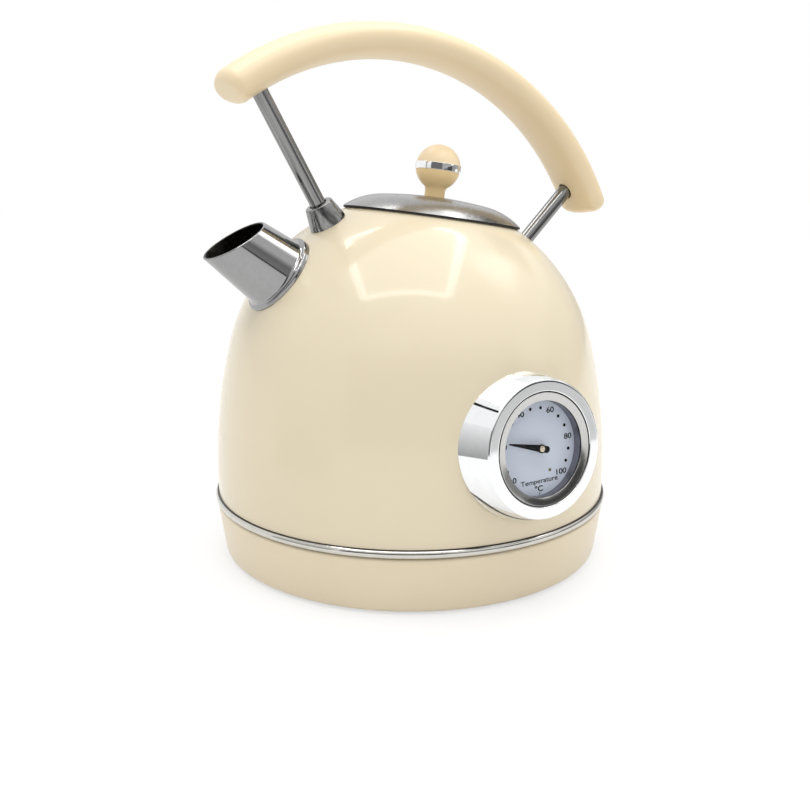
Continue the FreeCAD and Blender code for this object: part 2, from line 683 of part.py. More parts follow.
def switch_housing():
    half = SLOT_H / 2 - FIT
    width = SLOT_W - 2 * FIT
    front = SWITCH_WALL_X + HOUSING_LIP_T
    body = block(STEAM_X - HOUSING_BACK, front, width, SWITCH_Z - half, SWITCH_Z + half)
    lip = block(SWITCH_WALL_X - PIVOT_DEPTH, front, SLOT_W + 2 * HOUSING_LIP,
                SWITCH_Z - half - HOUSING_LIP, SWITCH_Z + half + HOUSING_LIP)
    lip = lip.cut(dome(-SEAT))
    cavity = block(PIVOT_X - LEVER_HUB_R - LOOSE, front, LEVER_W + 2 * LOOSE,
                   SWITCH_Z - half + HOUSING_WALL, SWITCH_Z + half - HOUSING_WALL)
    pin_hole = across(PIVOT_R + SEAT, width, PIVOT_X, SWITCH_Z)
    drain = rod(STEAM_R - STEAM_WALL, SWITCH_Z, HOUSING_TOP_Z, STEAM_X)
    return body.fuse(lip).cut([cavity, pin_hole, drain]).removeSplitter()


def switch_pin():
    return across(PIVOT_R, SLOT_W - 4 * FIT, PIVOT_X, SWITCH_Z)


def tilted_lever(shape):
    shape = shape.copy()
    shape.rotate(V(), V(0, 1, 0), -LEVER_TILT)
    shape.translate(V(PIVOT_X, 0, SWITCH_Z))
    return shape


LEVER_L = PIVOT_DEPTH + LEVER_REACH
LENS_X = LEVER_L - LENS_L - LEVER_T


def lens_block(room, top):
    return block(LENS_X - room, LENS_X + LENS_L + room, LENS_W + 2 * room, LEVER_TIP_T / 2 - LENS_T, top)


def switch_lever():
    side = rounded_wire([
        (0, -LEVER_T / 2),
        (LEVER_L, -LEVER_TIP_T / 2, EDGE_SHARE * LEVER_TIP_T),
        (LEVER_L, LEVER_TIP_T / 2, EDGE_SHARE * LEVER_TIP_T),
        (0, LEVER_T / 2),
    ])
    arm = Part.Face(side).extrude(V(0, LEVER_W, 0))
    arm.translate(V(0, -LEVER_W / 2, 0))
    hub = across(LEVER_HUB_R, LEVER_W, 0, 0)
    lever = arm.fuse(hub).cut([across(PIVOT_R + RUN, LEVER_W, 0, 0), lens_block(FIT, LEVER_T)])
    return tilted_lever(lever.removeSplitter())


def lever_lens():
    return tilted_lever(lens_block(0, LEVER_TIP_T / 2))


# Spout

def spout_outer_r(height):
    return SPOUT_BASE_R + (SPOUT_TIP_R - SPOUT_BASE_R) * (height - CROWN_R) / SPOUT_L


def spout_bore_r(height):
    return spout_outer_r(height) - SPOUT_WALL


def spout():
    low = sphere_height(CROWN_R, SPOUT_FLANGE_R) - SPOUT_FLANGE_T
    edge = sphere_height(CROWN_R, SPOUT_FLANGE_R) + SPOUT_FLANGE_T
    root = sphere_height(CROWN_R, SPOUT_BASE_R) + SPOUT_FLANGE_T
    high = CROWN_R + SPOUT_L + 2 * SPOUT_TIP_R * math.tan(math.radians(SPOUT_CUT))
    blank = spin([
        (spout_bore_r(low), low),
        (SPOUT_FLANGE_R, low),
        (SPOUT_FLANGE_R, edge, EDGE_SHARE * SPOUT_FLANGE_T),
        (spout_outer_r(root), root, SPOUT_ROOT),
        (spout_outer_r(high), high),
        (spout_bore_r(high), high),
    ])
    side = 4 * SPOUT_BASE_R
    above = Part.makeBox(side, side, side, V(-side / 2, -side / 2, 0))
    above.rotate(V(), V(0, 1, 0), SPOUT_CUT)
    above.translate(V(0, 0, CROWN_R + SPOUT_L))
    cut_tube = blank.cut(above)
    cut_tube.rotate(V(0, 0, CROWN_R), V(0, 1, 0), -SPOUT_DROOP)
    return leaning(cut_tube.cut(sphere(CROWN_R + SEAT)), SPOUT_LEAN)


def spout_strainer():
    outer = CROWN_R - SHELL_WALL - SEAT
    disc = rod(spout_bore_r(CROWN_R) + STRAINER_LAP, CROWN_R / 2, CROWN_R)
    disc = disc.common(sphere(outer)).cut(sphere(outer - STRAINER_T))
    hole = rod(STRAINER_HOLE_R, CROWN_R / 2, CROWN_R)
    holes = [hole]
    for ring in range(1, STRAINER_RINGS + 1):
        holes += spread(hole, ring * STRAINER_PITCH, 6 * ring)
    return leaning(disc.cut(holes), SPOUT_LEAN)


# Handle, posts and what holds them

HANDLE_CENTRE = V(-HANDLE_FORWARD, 0, CROWN_Z + HANDLE_RISE)


def post_length(lean):
    """From the sphere's centre along a post to the handle's middle line."""
    along = V(math.sin(math.radians(lean)), 0, math.cos(math.radians(lean)))
    offset = HANDLE_CENTRE - CROWN
    near = along.dot(offset)
    return near + math.sqrt(near ** 2 - offset.dot(offset) + HANDLE_R ** 2)


def handle_angle(lean):
    """Where a post meets the handle's middle line, as an angle from upright about the arch's centre."""
    along = V(math.sin(math.radians(lean)), 0, math.cos(math.radians(lean)))
    spot = CROWN + along * post_length(lean) - HANDLE_CENTRE
    return math.degrees(math.atan2(spot.x, spot.z))


def oval_wire(half_width, half_height, side_r):
    """Oval in the YZ plane of four smooth arcs, wide along Y."""
    offset = half_width - side_r
    top_r = (offset ** 2 + half_height ** 2 - side_r ** 2) / (2 * (half_height - side_r))
    drop = top_r - half_height
    share = top_r / (top_r - side_r)
    join_y = offset * share
    join_z = drop * share - drop
    joins = [V(0, join_y, join_z), V(0, -join_y, join_z), V(0, -join_y, -join_z), V(0, join_y, -join_z)]
    middles = [V(0, 0, half_height), V(0, -half_width, 0), V(0, 0, -half_height), V(0, half_width, 0)]
    arcs = [Part.Arc(joins[i], middles[i], joins[(i + 1) % 4]).toShape() for i in range(4)]
    return Part.Wire(arcs)


def handle_grip():
    front = handle_angle(FRONT_POST_LEAN) - math.degrees(HANDLE_FRONT_OVERHANG / HANDLE_R)
    rear = handle_angle(REAR_POST_LEAN) + math.degrees(HANDLE_REAR_OVERHANG / HANDLE_R)
    section = oval_wire(HANDLE_W / 2, HANDLE_T / 2, HANDLE_SIDE_R)
    section.translate(V(0, 0, HANDLE_R))
    section.rotate(V(), V(0, 1, 0), front)
    section.translate(HANDLE_CENTRE)
    arch = Part.Face(section).revolve(HANDLE_CENTRE, V(0, 1, 0), rear - front)
    ends = [edge for face in arch.Faces if isinstance(face.Surface, Part.Plane) for edge in face.Edges]
    arch = arch.makeFillet(min(HANDLE_END_R, 2 * EDGE_SHARE * HANDLE_SIDE_R), ends)
    for lean in (FRONT_POST_LEAN, REAR_POST_LEAN):
        top = post_length(lean)
        hole = rod(POST_SLEEVE_R, top - HANDLE_T, top - HANDLE_T / 4)
        socket = rod(POST_R + FIT, top - HANDLE_T, top)
        arch = arch.cut([leaning(hole, lean), leaning(socket, lean)])
    return arch


def post(lean):
    return leaning(rod(POST_R, CROWN_R - POST_TAIL, post_length(lean)), lean)


def ferrule(lean, base_r, top_r, height):
    """Cone round a post, seated on the body."""
    low = sphere_height(CROWN_R, base_r) - FERRULE_EDGE
    edge = min(FERRULE_EDGE, EDGE_SHARE * (top_r - POST_SLEEVE_R))
    cone = spin([
        (POST_SLEEVE_R, low),
        (base_r, low),
        (base_r, low + 2 * FERRULE_EDGE),
        (top_r, CROWN_R + height, edge),
        (POST_SLEEVE_R, CROWN_R + height),
    ])
    return leaning(cone.cut(sphere(CROWN_R + SEAT)), lean)


def post_washers():
    outer = CROWN_R - SHELL_WALL - SEAT
    low = sphere_height(outer, WASHER_R) - WASHER_T
    washer = tube(WASHER_R, POST_R + FIT, low, CROWN_R).common(sphere(outer))
    return Part.makeCompound([leaning(washer, lean) for lean in (FRONT_POST_LEAN, REAR_POST_LEAN)])


def post_nuts():
    top = sphere_height(CROWN_R - SHELL_WALL - SEAT, WASHER_R) - WASHER_T
    nut = hexagon(NUT_FLATS, top - NUT_T, top).cut(rod(POST_R + SEAT, top - NUT_T, top))
    return Part.makeCompound([leaning(nut, lean) for lean in (FRONT_POST_LEAN, REAR_POST_LEAN)])


# Lid and knob, made on the Z axis with Z = 0 at the sphere's centre

LID_EDGE_H = sphere_height(CROWN_R + LID_GAP, LID_R - LID_WALL)
LID_TOP_H = LID_EDGE_H + LID_RISE
LID_CAP_R = (LID_R ** 2 + LID_RISE ** 2) / (2 * LID_RISE)
LID_CROWN_R = LID_FLATNESS * LID_CAP_R
LID_CROWN_Z = LID_TOP_H - LID_CROWN_R
LID_SHOULDER_R = LID_SHOULDER * LID_CAP_R
LINER_R = MOUTH_R - LOOSE - SEAL_GROOVE
LINER_LOW_H = sphere_height(CROWN_R, MOUTH_R) - LINER_DEPTH
SEAL_LOW_H = (LINER_LOW_H + sphere_height(CROWN_R, MOUTH_R) - SEAL_T) / 2
KNOB_NECK_H = LID_TOP_H + KNOB_STEM_L
KNOB_H = KNOB_NECK_H + sphere_height(KNOB_R, KNOB_STEM_R)
KNOB_BAND_LOW_H = KNOB_H - KNOB_BAND_H / 2
KNOB_BAND_TOP_H = KNOB_H + KNOB_BAND_H / 2


def lid_meeting_angle():
    """Angle from the axis, about the crown's centre, at which the crown meets the shoulder smoothly."""
    between = LID_CROWN_R - LID_SHOULDER_R
    edge_away = math.hypot(LID_R, LID_CROWN_R - LID_RISE)
    spread = (edge_away ** 2 + between ** 2 - LID_SHOULDER_R ** 2) / (2 * edge_away * between)
    return math.atan2(LID_R, LID_CROWN_R - LID_RISE) - math.acos(spread)


LID_MEET = lid_meeting_angle()
SHOULDER_X = (LID_CROWN_R - LID_SHOULDER_R) * math.sin(LID_MEET)
SHOULDER_Z = LID_CROWN_Z + (LID_CROWN_R - LID_SHOULDER_R) * math.cos(LID_MEET)


def lid_height(radius, inset):
    """Height of the lid's outer face, or of a face inside it, at that distance from its axis."""
    if radius < (LID_CROWN_R - inset) * math.sin(LID_MEET):
        return LID_CROWN_Z + sphere_height(LID_CROWN_R - inset, radius)
    return SHOULDER_Z + sphere_height(LID_SHOULDER_R - inset, radius - SHOULDER_X)


def lid_edge_r(inset):
    return SHOULDER_X + sphere_height(LID_SHOULDER_R - inset, LID_EDGE_H - SHOULDER_Z)


def lid_shape(inset):
    """Shallow cap with a flat crown that bends down over a tighter shoulder to the edge."""
    edge = lid_edge_r(inset)
    meet = (LID_CROWN_R - inset) * math.sin(LID_MEET)
    spots = [V(r, 0, lid_height(r, inset)) for r in (edge, (edge + meet) / 2, meet, meet / 2, 0)]
    middle = V(0, 0, LID_EDGE_H)
    outline = [
        Part.LineSegment(middle, spots[0]),
        Part.Arc(*spots[:3]),
        Part.Arc(*spots[2:]),
        Part.LineSegment(spots[4], middle),
    ]
    return Part.Face(Part.Wire([curve.toShape() for curve in outline])).revolve(V(), UP, 360)


def lid_cap():
    cap = lid_shape(0).cut(lid_shape(LID_WALL))
    return leaning(cap.cut(rod(KNOB_SCREW_R + FIT, LID_EDGE_H, LID_TOP_H)), LID_TILT)


def lid_liner():
    top = lid_height(LINER_R, LID_WALL) - SEAT
    hub = KNOB_SCREW_HEAD_R
    cup = spin([
        (0, LINER_LOW_H),
        (LINER_R, LINER_LOW_H, EDGE_SHARE * LINER_WALL),
        (LINER_R, top),
        (LINER_R - LINER_WALL, top),
        (LINER_R - LINER_WALL, LINER_LOW_H + LINER_WALL),
        (0, LINER_LOW_H + LINER_WALL),
    ])
    ledges = tube(LINER_R + SEAL_GROOVE, LINER_R, SEAL_LOW_H - SEAL_GROOVE, SEAL_LOW_H)
    post_up = rod(hub, LINER_LOW_H, lid_height(hub, LID_WALL) - SEAT)
    hole = rod(KNOB_SCREW_R + FIT, LINER_LOW_H, LID_TOP_H)
    return leaning(cup.fuse([ledges, post_up]).cut(hole).removeSplitter(), LID_TILT)


def lid_seal():
    """Ring in the liner's groove, and a soft lip under the lid's edge."""
    ring = tube(MOUTH_R - LOOSE, LINER_R + SEAT, SEAL_LOW_H, SEAL_LOW_H + SEAL_T)
    lip_inner = lid_edge_r(LID_WALL) - LID_WALL
    lip = tube(LID_R - LID_WALL / 4, lip_inner, LID_EDGE_H - LIP_SHARE * LID_GAP, LID_EDGE_H)
    room = Part.makeSphere(CROWN_R + (1 - LIP_SHARE) * LID_GAP)
    return Part.makeCompound([leaning(solid, LID_TILT) for solid in (ring, lip.cut(room))])


def knob_ball(low, high):
    ball = Part.makeSphere(KNOB_R, V(0, 0, KNOB_H))
    return ball.common(rod(2 * KNOB_R, low, high))


def knob_base():
    """Stem and lower half of the ball, with a rounded neck between them."""
    foot = LID_TOP_H - LID_WALL
    stem = rod(KNOB_STEM_R, foot, KNOB_BAND_LOW_H).cut(lid_shape(-SEAT))
    knob = stem.fuse(knob_ball(KNOB_H - KNOB_R, KNOB_BAND_LOW_H)).removeSplitter()
    neck = [edge for edge in knob.Edges if edge.BoundBox.Center.distanceToPoint(V(0, 0, KNOB_NECK_H)) < SEAT]
    knob = knob.makeFillet(min(KNOB_NECK_ROUND, EDGE_SHARE * KNOB_STEM_L), neck)
    return leaning(knob.cut(rod(KNOB_SCREW_R + SEAT, foot, KNOB_BAND_LOW_H)), LID_TILT)


def knob_band():
    band = rod(KNOB_R + KNOB_BAND_PROUD, KNOB_BAND_LOW_H, KNOB_BAND_TOP_H)
    return leaning(band.cut(rod(KNOB_SCREW_R + SEAT, KNOB_BAND_LOW_H, KNOB_BAND_TOP_H)), LID_TILT)


def knob_cap():
    cap = knob_ball(KNOB_BAND_TOP_H, KNOB_H + KNOB_R)
    hole = rod(KNOB_SCREW_R + SEAT, KNOB_BAND_TOP_H, KNOB_BAND_TOP_H + KNOB_SCREW_BITE)
    return leaning(cap.cut(hole), LID_TILT)


def knob_screw():
    head = rod(KNOB_SCREW_HEAD_R, LINER_LOW_H - KNOB_SCREW_HEAD_T, LINER_LOW_H)
    shank = rod(KNOB_SCREW_R, LINER_LOW_H, KNOB_BAND_TOP_H + KNOB_SCREW_BITE - FIT)
    return leaning(head.fuse(shank), LID_TILT)


# Thermometer, made on the Z axis with Z = 0 at the wall

def gauge_bezel():
    collar = spin([
        (BEZEL_BORE_R, -BEZEL_DEPTH),
        (BEZEL_R + 2 * BEZEL_FLARE, -BEZEL_DEPTH),
        (BEZEL_R, BEZEL_DEPTH, min(BEZEL_ROUND, EDGE_SHARE * BEZEL_RIM)),
        (BEZEL_BORE_R, BEZEL_DEPTH, min(BEZEL_BORE_ROUND, EDGE_SHARE * BEZEL_RIM)),
    ])
    floor = tube(BEZEL_R - BEZEL_RIM / 2, GAUGE_STEM_R + FIT, BEZEL_FLOOR_W, CASE_BACK_W)
    return on_gauge(collar.fuse(floor).cut(off_gauge(dome(-SEAT))).removeSplitter())


def gauge_case():
    cup = spin([
        (SHAFT_R + RUN, -GAUGE_STEM_L),
        (GAUGE_STEM_R, -GAUGE_STEM_L),
        (GAUGE_STEM_R, CASE_BACK_W),
        (CASE_R, CASE_BACK_W),
        (CASE_R, GLASS_FRONT_W),
        (CASE_R - CASE_WALL, GLASS_FRONT_W),
        (CASE_R - CASE_WALL, DIAL_BACK_W),
        (STEP_R, DIAL_BACK_W),
        (STEP_R, CASE_FLOOR_W),
        (SHAFT_R + RUN, CASE_FLOOR_W),
    ])
    return on_gauge(cup)


def gauge_gasket():
    washer = tube(GASKET_R, GAUGE_STEM_R + FIT, NUT_FACE_W, BEZEL_DEPTH)
    return on_gauge(washer.common(off_gauge(dome(SHELL_WALL + SEAT))))


def gauge_nut():
    low = NUT_FACE_W - GAUGE_NUT_T
    nut = hexagon(GAUGE_NUT_FLATS, low, NUT_FACE_W)
    return on_gauge(nut.cut(rod(GAUGE_STEM_R + SEAT, low, NUT_FACE_W)))


def gauge_probe():
    end = -GAUGE_STEM_L - PROBE_L
    return on_gauge(spin([
        (0, end),
        (PROBE_R, end, 2 * EDGE_SHARE * PROBE_R),
        (PROBE_R, -GAUGE_STEM_L),
        (0, -GAUGE_STEM_L),
    ]))


def gauge_dial():
    return on_gauge(tube(DIAL_R, SHAFT_R + LOOSE, DIAL_BACK_W, DIAL_FRONT_W))


def gauge_spacer():
    return on_gauge(tube(DIAL_R, DIAL_R - SPACER_W, DIAL_FRONT_W, GLASS_BACK_W))


def gauge_glass():
    return on_gauge(rod(DIAL_R, GLASS_BACK_W, GLASS_FRONT_W))


def gauge_ring():
    outer = CASE_R - RING_ROOM
    inner = outer - RING_W
    return on_gauge(spin([
        (inner, GLASS_FRONT_W),
        (outer, GLASS_FRONT_W),
        (outer, RING_FRONT_W, EDGE_SHARE * RING_T),
        (inner + RING_SLOPE, RING_FRONT_W, EDGE_SHARE * RING_T),
        (inner, GLASS_FRONT_W + EDGE_SHARE * RING_T),
    ]))


def bimetal_coil():
    """Flat spiral strip of half circles, from beside the shaft out to the case."""
    first = SHAFT_R + LOOSE + COIL_T / 2
    last = STEP_R - SEAT - COIL_T / 2
    step = (last - first) / COIL_HALF_TURNS
    low = COIL_LOW_W
    sides = []
    for offset in (COIL_T / 2, -COIL_T / 2):
        arcs = []
        for i in range(COIL_HALF_TURNS):
            facing = 1 if i % 2 == 0 else -1
            middle = 0 if i % 2 == 0 else step
            reach = first + i * step + offset
            arcs.append(Part.Arc(V(middle + facing * reach, 0, low), V(middle, facing * reach, low),
                                 V(middle - facing * reach, 0, low)).toShape())
        sides.append(Part.Wire(arcs))
    ends = [
        Part.LineSegment(V(first + COIL_T / 2, 0, low), V(first - COIL_T / 2, 0, low)).toShape(),
        Part.LineSegment(V(last + COIL_T / 2, 0, low), V(last - COIL_T / 2, 0, low)).toShape(),
    ]
    outline = Part.Wire(Part.__sortEdges__(sides[0].Edges + sides[1].Edges + ends))
    return on_gauge(Part.Face(outline).extrude(UP * COIL_W))


def turned_pointer(shape):
    """Turn a pointer made towards the top of the dial to what it reads at rest."""
    shape = shape.copy()
    shape.rotate(V(), UP, -(DIAL_START + DIAL_SWEEP * POINTER_READS / 100))
    return on_gauge(shape)


def gauge_pointer():
    outline = [(-POINTER_W / 2, -POINTER_TAIL), (POINTER_W / 2, -POINTER_TAIL), (POINTER_W / 2, 0),
               (POINTER_TIP_W / 2, POINTER_L), (-POINTER_TIP_W / 2, POINTER_L), (-POINTER_W / 2, 0)]
    corners = [V(x, y, POINTER_LOW_W) for x, y in outline]
    blade = Part.Face(Part.makePolygon(corners + corners[:1])).extrude(UP * POINTER_T)
    hub = rod(POINTER_HUB_R, POINTER_LOW_W, POINTER_TOP_W)
    tail = rod(POINTER_W / 2, POINTER_LOW_W, POINTER_TOP_W, 0, -POINTER_TAIL)
    hole = rod(SHAFT_R + SEAT, POINTER_LOW_W, POINTER_TOP_W)
    return turned_pointer(blade.fuse([hub, tail]).cut(hole).removeSplitter())


def pointer_shaft():
    shaft = rod(SHAFT_R, -GAUGE_STEM_L + LOOSE, POINTER_TOP_W)
    head = rod(SHAFT_HEAD_R, POINTER_TOP_W, SHAFT_TOP_W)
    return on_gauge(shaft.fuse(head).removeSplitter())


PIECES = {
    "base_shell": base_shell,
    "base_plate": base_plate,
    "base_foot_ring": base_foot_ring,
    "base_screws": base_screws,
    "base_connector": base_connector,
    "connector_contacts": connector_contacts,
    "cord_gland": cord_gland,
    "body_shell": body_shell,
    "trim_ring": trim_ring,
    "heating_plate": heating_plate,
    "diffuser_plate": diffuser_plate,
    "heating_element": heating_element,
    "element_pins": element_pins,
    "control_unit": control_unit,
    "kettle_socket": kettle_socket,
    "socket_contacts": socket_contacts,
    "bottom_cover": bottom_cover,
    "bottom_screws": bottom_screws,
    "steam_tube": steam_tube,
    "switch_housing": switch_housing,
    "switch_pin": switch_pin,
    "switch_lever": switch_lever,
    "lever_lens": lever_lens,
    "spout": spout,
    "spout_strainer": spout_strainer,
    "handle_grip": handle_grip,
    "front_post": lambda: post(FRONT_POST_LEAN),
    "rear_post": lambda: post(REAR_POST_LEAN),
    "front_ferrule": lambda: ferrule(FRONT_POST_LEAN, FERRULE_BASE_R, FERRULE_TOP_R, FERRULE_H),
    "rear_ferrule": lambda: ferrule(REAR_POST_LEAN, COLLAR_BASE_R, COLLAR_TOP_R, COLLAR_H),
    "post_washers": post_washers,
    "post_nuts": post_nuts,
    "lid_cap": lid_cap,
    "lid_liner": lid_liner,
    "lid_seal": lid_seal,
    "knob_base": knob_base,
    "knob_band": knob_band,
    "knob_cap": knob_cap,
    "knob_screw": knob_screw,
    "gauge_bezel": gauge_bezel,
    "gauge_case": gauge_case,
    "gauge_gasket": gauge_gasket,
    "gauge_nut": gauge_nut,
    "gauge_probe": gauge_probe,
    "gauge_dial": gauge_dial,
    "gauge_spacer": gauge_spacer,
    "gauge_glass": gauge_glass,
    "gauge_ring": gauge_ring,
    "bimetal_coil": bimetal_coil,
    "gauge_pointer": gauge_pointer,
    "pointer_shaft": pointer_shaft,
}

os.makedirs("parts", exist_ok=True)
for name, make in PIECES.items():
    make().exportStep("parts/" + name + ".step")
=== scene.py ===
import json
import math

import bmesh
import bpy
from mathutils import Matrix, Vector


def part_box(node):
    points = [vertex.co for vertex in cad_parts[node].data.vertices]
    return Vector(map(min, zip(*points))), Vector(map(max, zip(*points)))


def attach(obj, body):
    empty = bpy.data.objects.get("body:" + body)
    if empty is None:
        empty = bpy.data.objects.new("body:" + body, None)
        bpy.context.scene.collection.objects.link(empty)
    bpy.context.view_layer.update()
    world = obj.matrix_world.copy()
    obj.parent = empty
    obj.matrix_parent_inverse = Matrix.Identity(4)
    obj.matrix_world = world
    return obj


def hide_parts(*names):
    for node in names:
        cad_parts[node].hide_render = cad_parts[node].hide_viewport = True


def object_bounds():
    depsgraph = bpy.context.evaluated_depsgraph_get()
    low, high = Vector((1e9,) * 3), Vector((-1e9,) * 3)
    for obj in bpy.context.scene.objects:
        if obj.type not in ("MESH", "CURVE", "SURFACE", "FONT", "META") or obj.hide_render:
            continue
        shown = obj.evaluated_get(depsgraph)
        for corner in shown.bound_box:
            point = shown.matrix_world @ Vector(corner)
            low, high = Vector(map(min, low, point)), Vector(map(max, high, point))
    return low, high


# A cream dome kettle with a steel spout, lid and dial, on its power base in a plain white studio.
# Sizes are in millimetres and angles in degrees; a mesh is scaled to metres when it becomes a piece.
# The frame is the model's: origin on the table under the base, +Z up, spout along -X, dial facing -Y.

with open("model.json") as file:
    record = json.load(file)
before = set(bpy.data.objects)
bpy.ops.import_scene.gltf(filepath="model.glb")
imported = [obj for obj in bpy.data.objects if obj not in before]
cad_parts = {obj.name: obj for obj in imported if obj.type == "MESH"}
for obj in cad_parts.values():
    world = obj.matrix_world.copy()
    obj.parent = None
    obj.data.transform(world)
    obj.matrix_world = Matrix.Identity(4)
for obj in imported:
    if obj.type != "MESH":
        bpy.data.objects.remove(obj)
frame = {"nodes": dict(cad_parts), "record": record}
cad_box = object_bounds()

MM = 0.001
SMOOTH_ANGLE = 35.0     # sharper edges than this stay sharp
MERGE = 1e-4            # points closer than this are one
EDGE_SHARE = 0.4        # rounding of an edge, as a share of the wall that it rounds
FINE_EDGE_SHARE = 0.2   # and on a piece with crisp edges
DIAL_EDGE_SHARE = 0.3

# Facets
TURN_STEPS = 192        # round a large turned piece
SMALL_STEPS = 96        # round a small one
SHAFT_STEPS = 48
DOT_STEPS = 24
EDGE_STEPS = 8          # round an edge or a soft bend
BEAD_STEPS = 20
FLANK_STEPS = 40
CROWN_STEPS = 64
CAP_STEPS = 32          # each arc of the lid and the knob
OVAL_STEPS = 16         # each arc of the handle's section
ARCH_STEPS = 90         # along the handle
HUB_STEPS = 12
TAIL_STEPS = 16
SEARCH_STEPS = 40       # halvings to find a face
SETTLE_STEPS = 6        # rounds in which a foot settles on a face

# Power base and trim bead
BASE_H = 26.7
BASE_LIFT = 1.0
BASE_TOP_R = 97.2
BASE_FOOT_R = 93.6
BASE_WALL = 3.0
BASE_EDGE = 2.4
BASE_LIP_EDGE = 1.2
LIP_W = 8.0
DECK_DROP = 2.0
CONNECTOR_R = 18.0
GLAND_Z = 11.0
GLAND_NECK_R = 5.0
TRIM_R = 98.0
TRIM_BEAD = 2.0
TRIM_DEPTH = 4.0
TRIM_LOW_Z = 27.0
TRIM_SHADE = 0.16        # share of the bead painted dark, as painted shade under the body's edge

# Dome
SKIRT_Z = 31.0
CROWN_R = 91.0
CROWN_RISE = 50.5
FLANK_R = 260.0
SKIRT_R = 96.3
SHELL_WALL = 1.2
CROWN_Z = SKIRT_Z + CROWN_RISE
THROUGH = (CROWN_R / 2, 2 * CROWN_R)  # from well inside the dome to well outside it
HOUSING_LIP = 2.5       # how far the switch housing covers the body round its slot

# Lid and knob
LID_TILT = 8.5
LID_R = 43.4
LID_RISE = 9.5
LID_FLATNESS = 1.85     # its top's radius as a share of a plain round cap's
LID_SHOULDER = 0.32     # its shoulder's radius as a share of the same
LID_WALL = 1.0
LID_GAP = 1.0
MOUTH_R = 37.0
NECK_DEPTH = 8.0
KNOB_R = 10.8
KNOB_BAND_H = 3.4
KNOB_BAND_PROUD = 0.2
KNOB_STEM_R = 4.9
KNOB_STEM_L = 4.5
KNOB_NECK_ROUND = 1.8

# Spout
SPOUT_BASE_R = 17.0
SPOUT_TIP_R = 14.3
SPOUT_L = 24.9
SPOUT_CUT = 24.0
SPOUT_DROOP = 2.5
SPOUT_WALL = 1.2
SPOUT_FLANGE_R = 19.4
SPOUT_FLANGE_T = 2.0
SPOUT_ROOT = 1.6
SPOUT_RIM_ROUND = 0.4

# Posts, ferrules and handle
LID_TO_FRONT_POST = 5.3
POST_TO_SPOUT = 6.0
LID_TO_REAR_POST = 7.7
POST_R = 3.7
POST_TAIL = 12.0
SLEEVE_R = 4.2
FERRULE_TOP_R = 6.5
FERRULE_BASE_R = 8.8
FERRULE_H = 9.6
FERRULE_EDGE = 0.8
COLLAR_TOP_R = 5.6
COLLAR_BASE_R = 6.0
COLLAR_H = 2.2
HANDLE_R = 133.0
HANDLE_FORWARD = 13.0
HANDLE_RISE = 27.0
HANDLE_W = 29.0
HANDLE_T = 16.0
HANDLE_SIDE_R = 6.0
HANDLE_END_R = 4.6
HANDLE_FRONT_OVERHANG = 13.6
HANDLE_REAR_OVERHANG = 17.2

# Thermometer, as radii and as distances out from the wall
GAUGE_Z = 71.3
GAUGE_TURN = 2.0
BEZEL_R = 29.3
BEZEL_FLARE = 2.2
BEZEL_BORE_R = 24.2
BEZEL_ROUND = 1.0
BEZEL_BORE_ROUND = 0.4
BEZEL_RIM = 1.4         # from its outer edge to where its front is quite flat
BEZEL_DEPTH = 10.8
BEZEL_TIP = 0.2         # how much further its side seems to lean outwards
BEZEL_GAP = 1.2         # where it stands furthest off the wall
BEZEL_GAP_CLOCK = 200.0
SHADE_RING_INSET = 0.7        # from its edge in to the dark ring of painted shade behind it
SHADE_RING_RISE = 1.5         # height of the painted shade ring, as a share of the gap
RING_R = 23.75
RING_W = 3.45
RING_DISH = 0.7         # lower at its inner edge
RING_FRONT_W = 10.6
GAP_OVERLAP = 0.2       # how far the painted shade on the floor of the gap round the ring reaches under its sides
GLASS_BACK_W = 9.1
GLASS_FRONT_W = 9.8
DIAL_R = 23.0
DIAL_BACK_W = 4.8
DIAL_FRONT_W = 5.4
SPACER_W = 2.8
SHAFT_R = 1.0
SHAFT_LOW_W = 3.0
SHAFT_HEAD_R = 1.35
SHAFT_TOP_W = 8.8
POINTER_LOW_W = 8.0
POINTER_TOP_W = 8.4
POINTER_L = 17.2
POINTER_TAIL = 2.7
POINTER_W = 3.0
POINTER_TIP_W = 0.6
POINTER_HUB_R = 1.9
POINTER_READS = 22.0

# Print on the dial
DIAL_START = 225.0      # 0 degrees C, clockwise from the top
DIAL_SWEEP = 270.0      # up to the highest reading
DIAL_TOP = 100
NUMBER_STEP = 20
DOTS_BETWEEN = 2        # dots from one number to the next
MARK_R = 16.9           # circle of the numbers and dots
LEFT_SPREAD = 1.08      # the scale is a little wider on its left
MARK_T = 0.05
NUMBER_TEXT = 3.3
WORD_TEXT = 2.9
TEXT_STRETCH = 1.28     # letters are wide
NUMBER_WEIGHT = 0.07    # and a little bold
WORD_WEIGHT = 0.04
UNIT_WEIGHT = 0.08
WORD_AT = (0.2, -14.2)
UNIT_AT = (-0.3, -17.5)
TICK_R = 19.5
DOT_R = 0.72
BOIL_AT = (6.1, -10.3)  # small coloured marker beside the 100
BOIL_R = 0.75


# Outlines

def arc(centre, radius, start, end, steps):
    """Points on a circle from one angle to another, in radians."""
    angles = [start + (end - start) * i / steps for i in range(steps + 1)]
    return [Vector((centre[0] + radius * math.cos(a), centre[1] + radius * math.sin(a))) for a in angles]


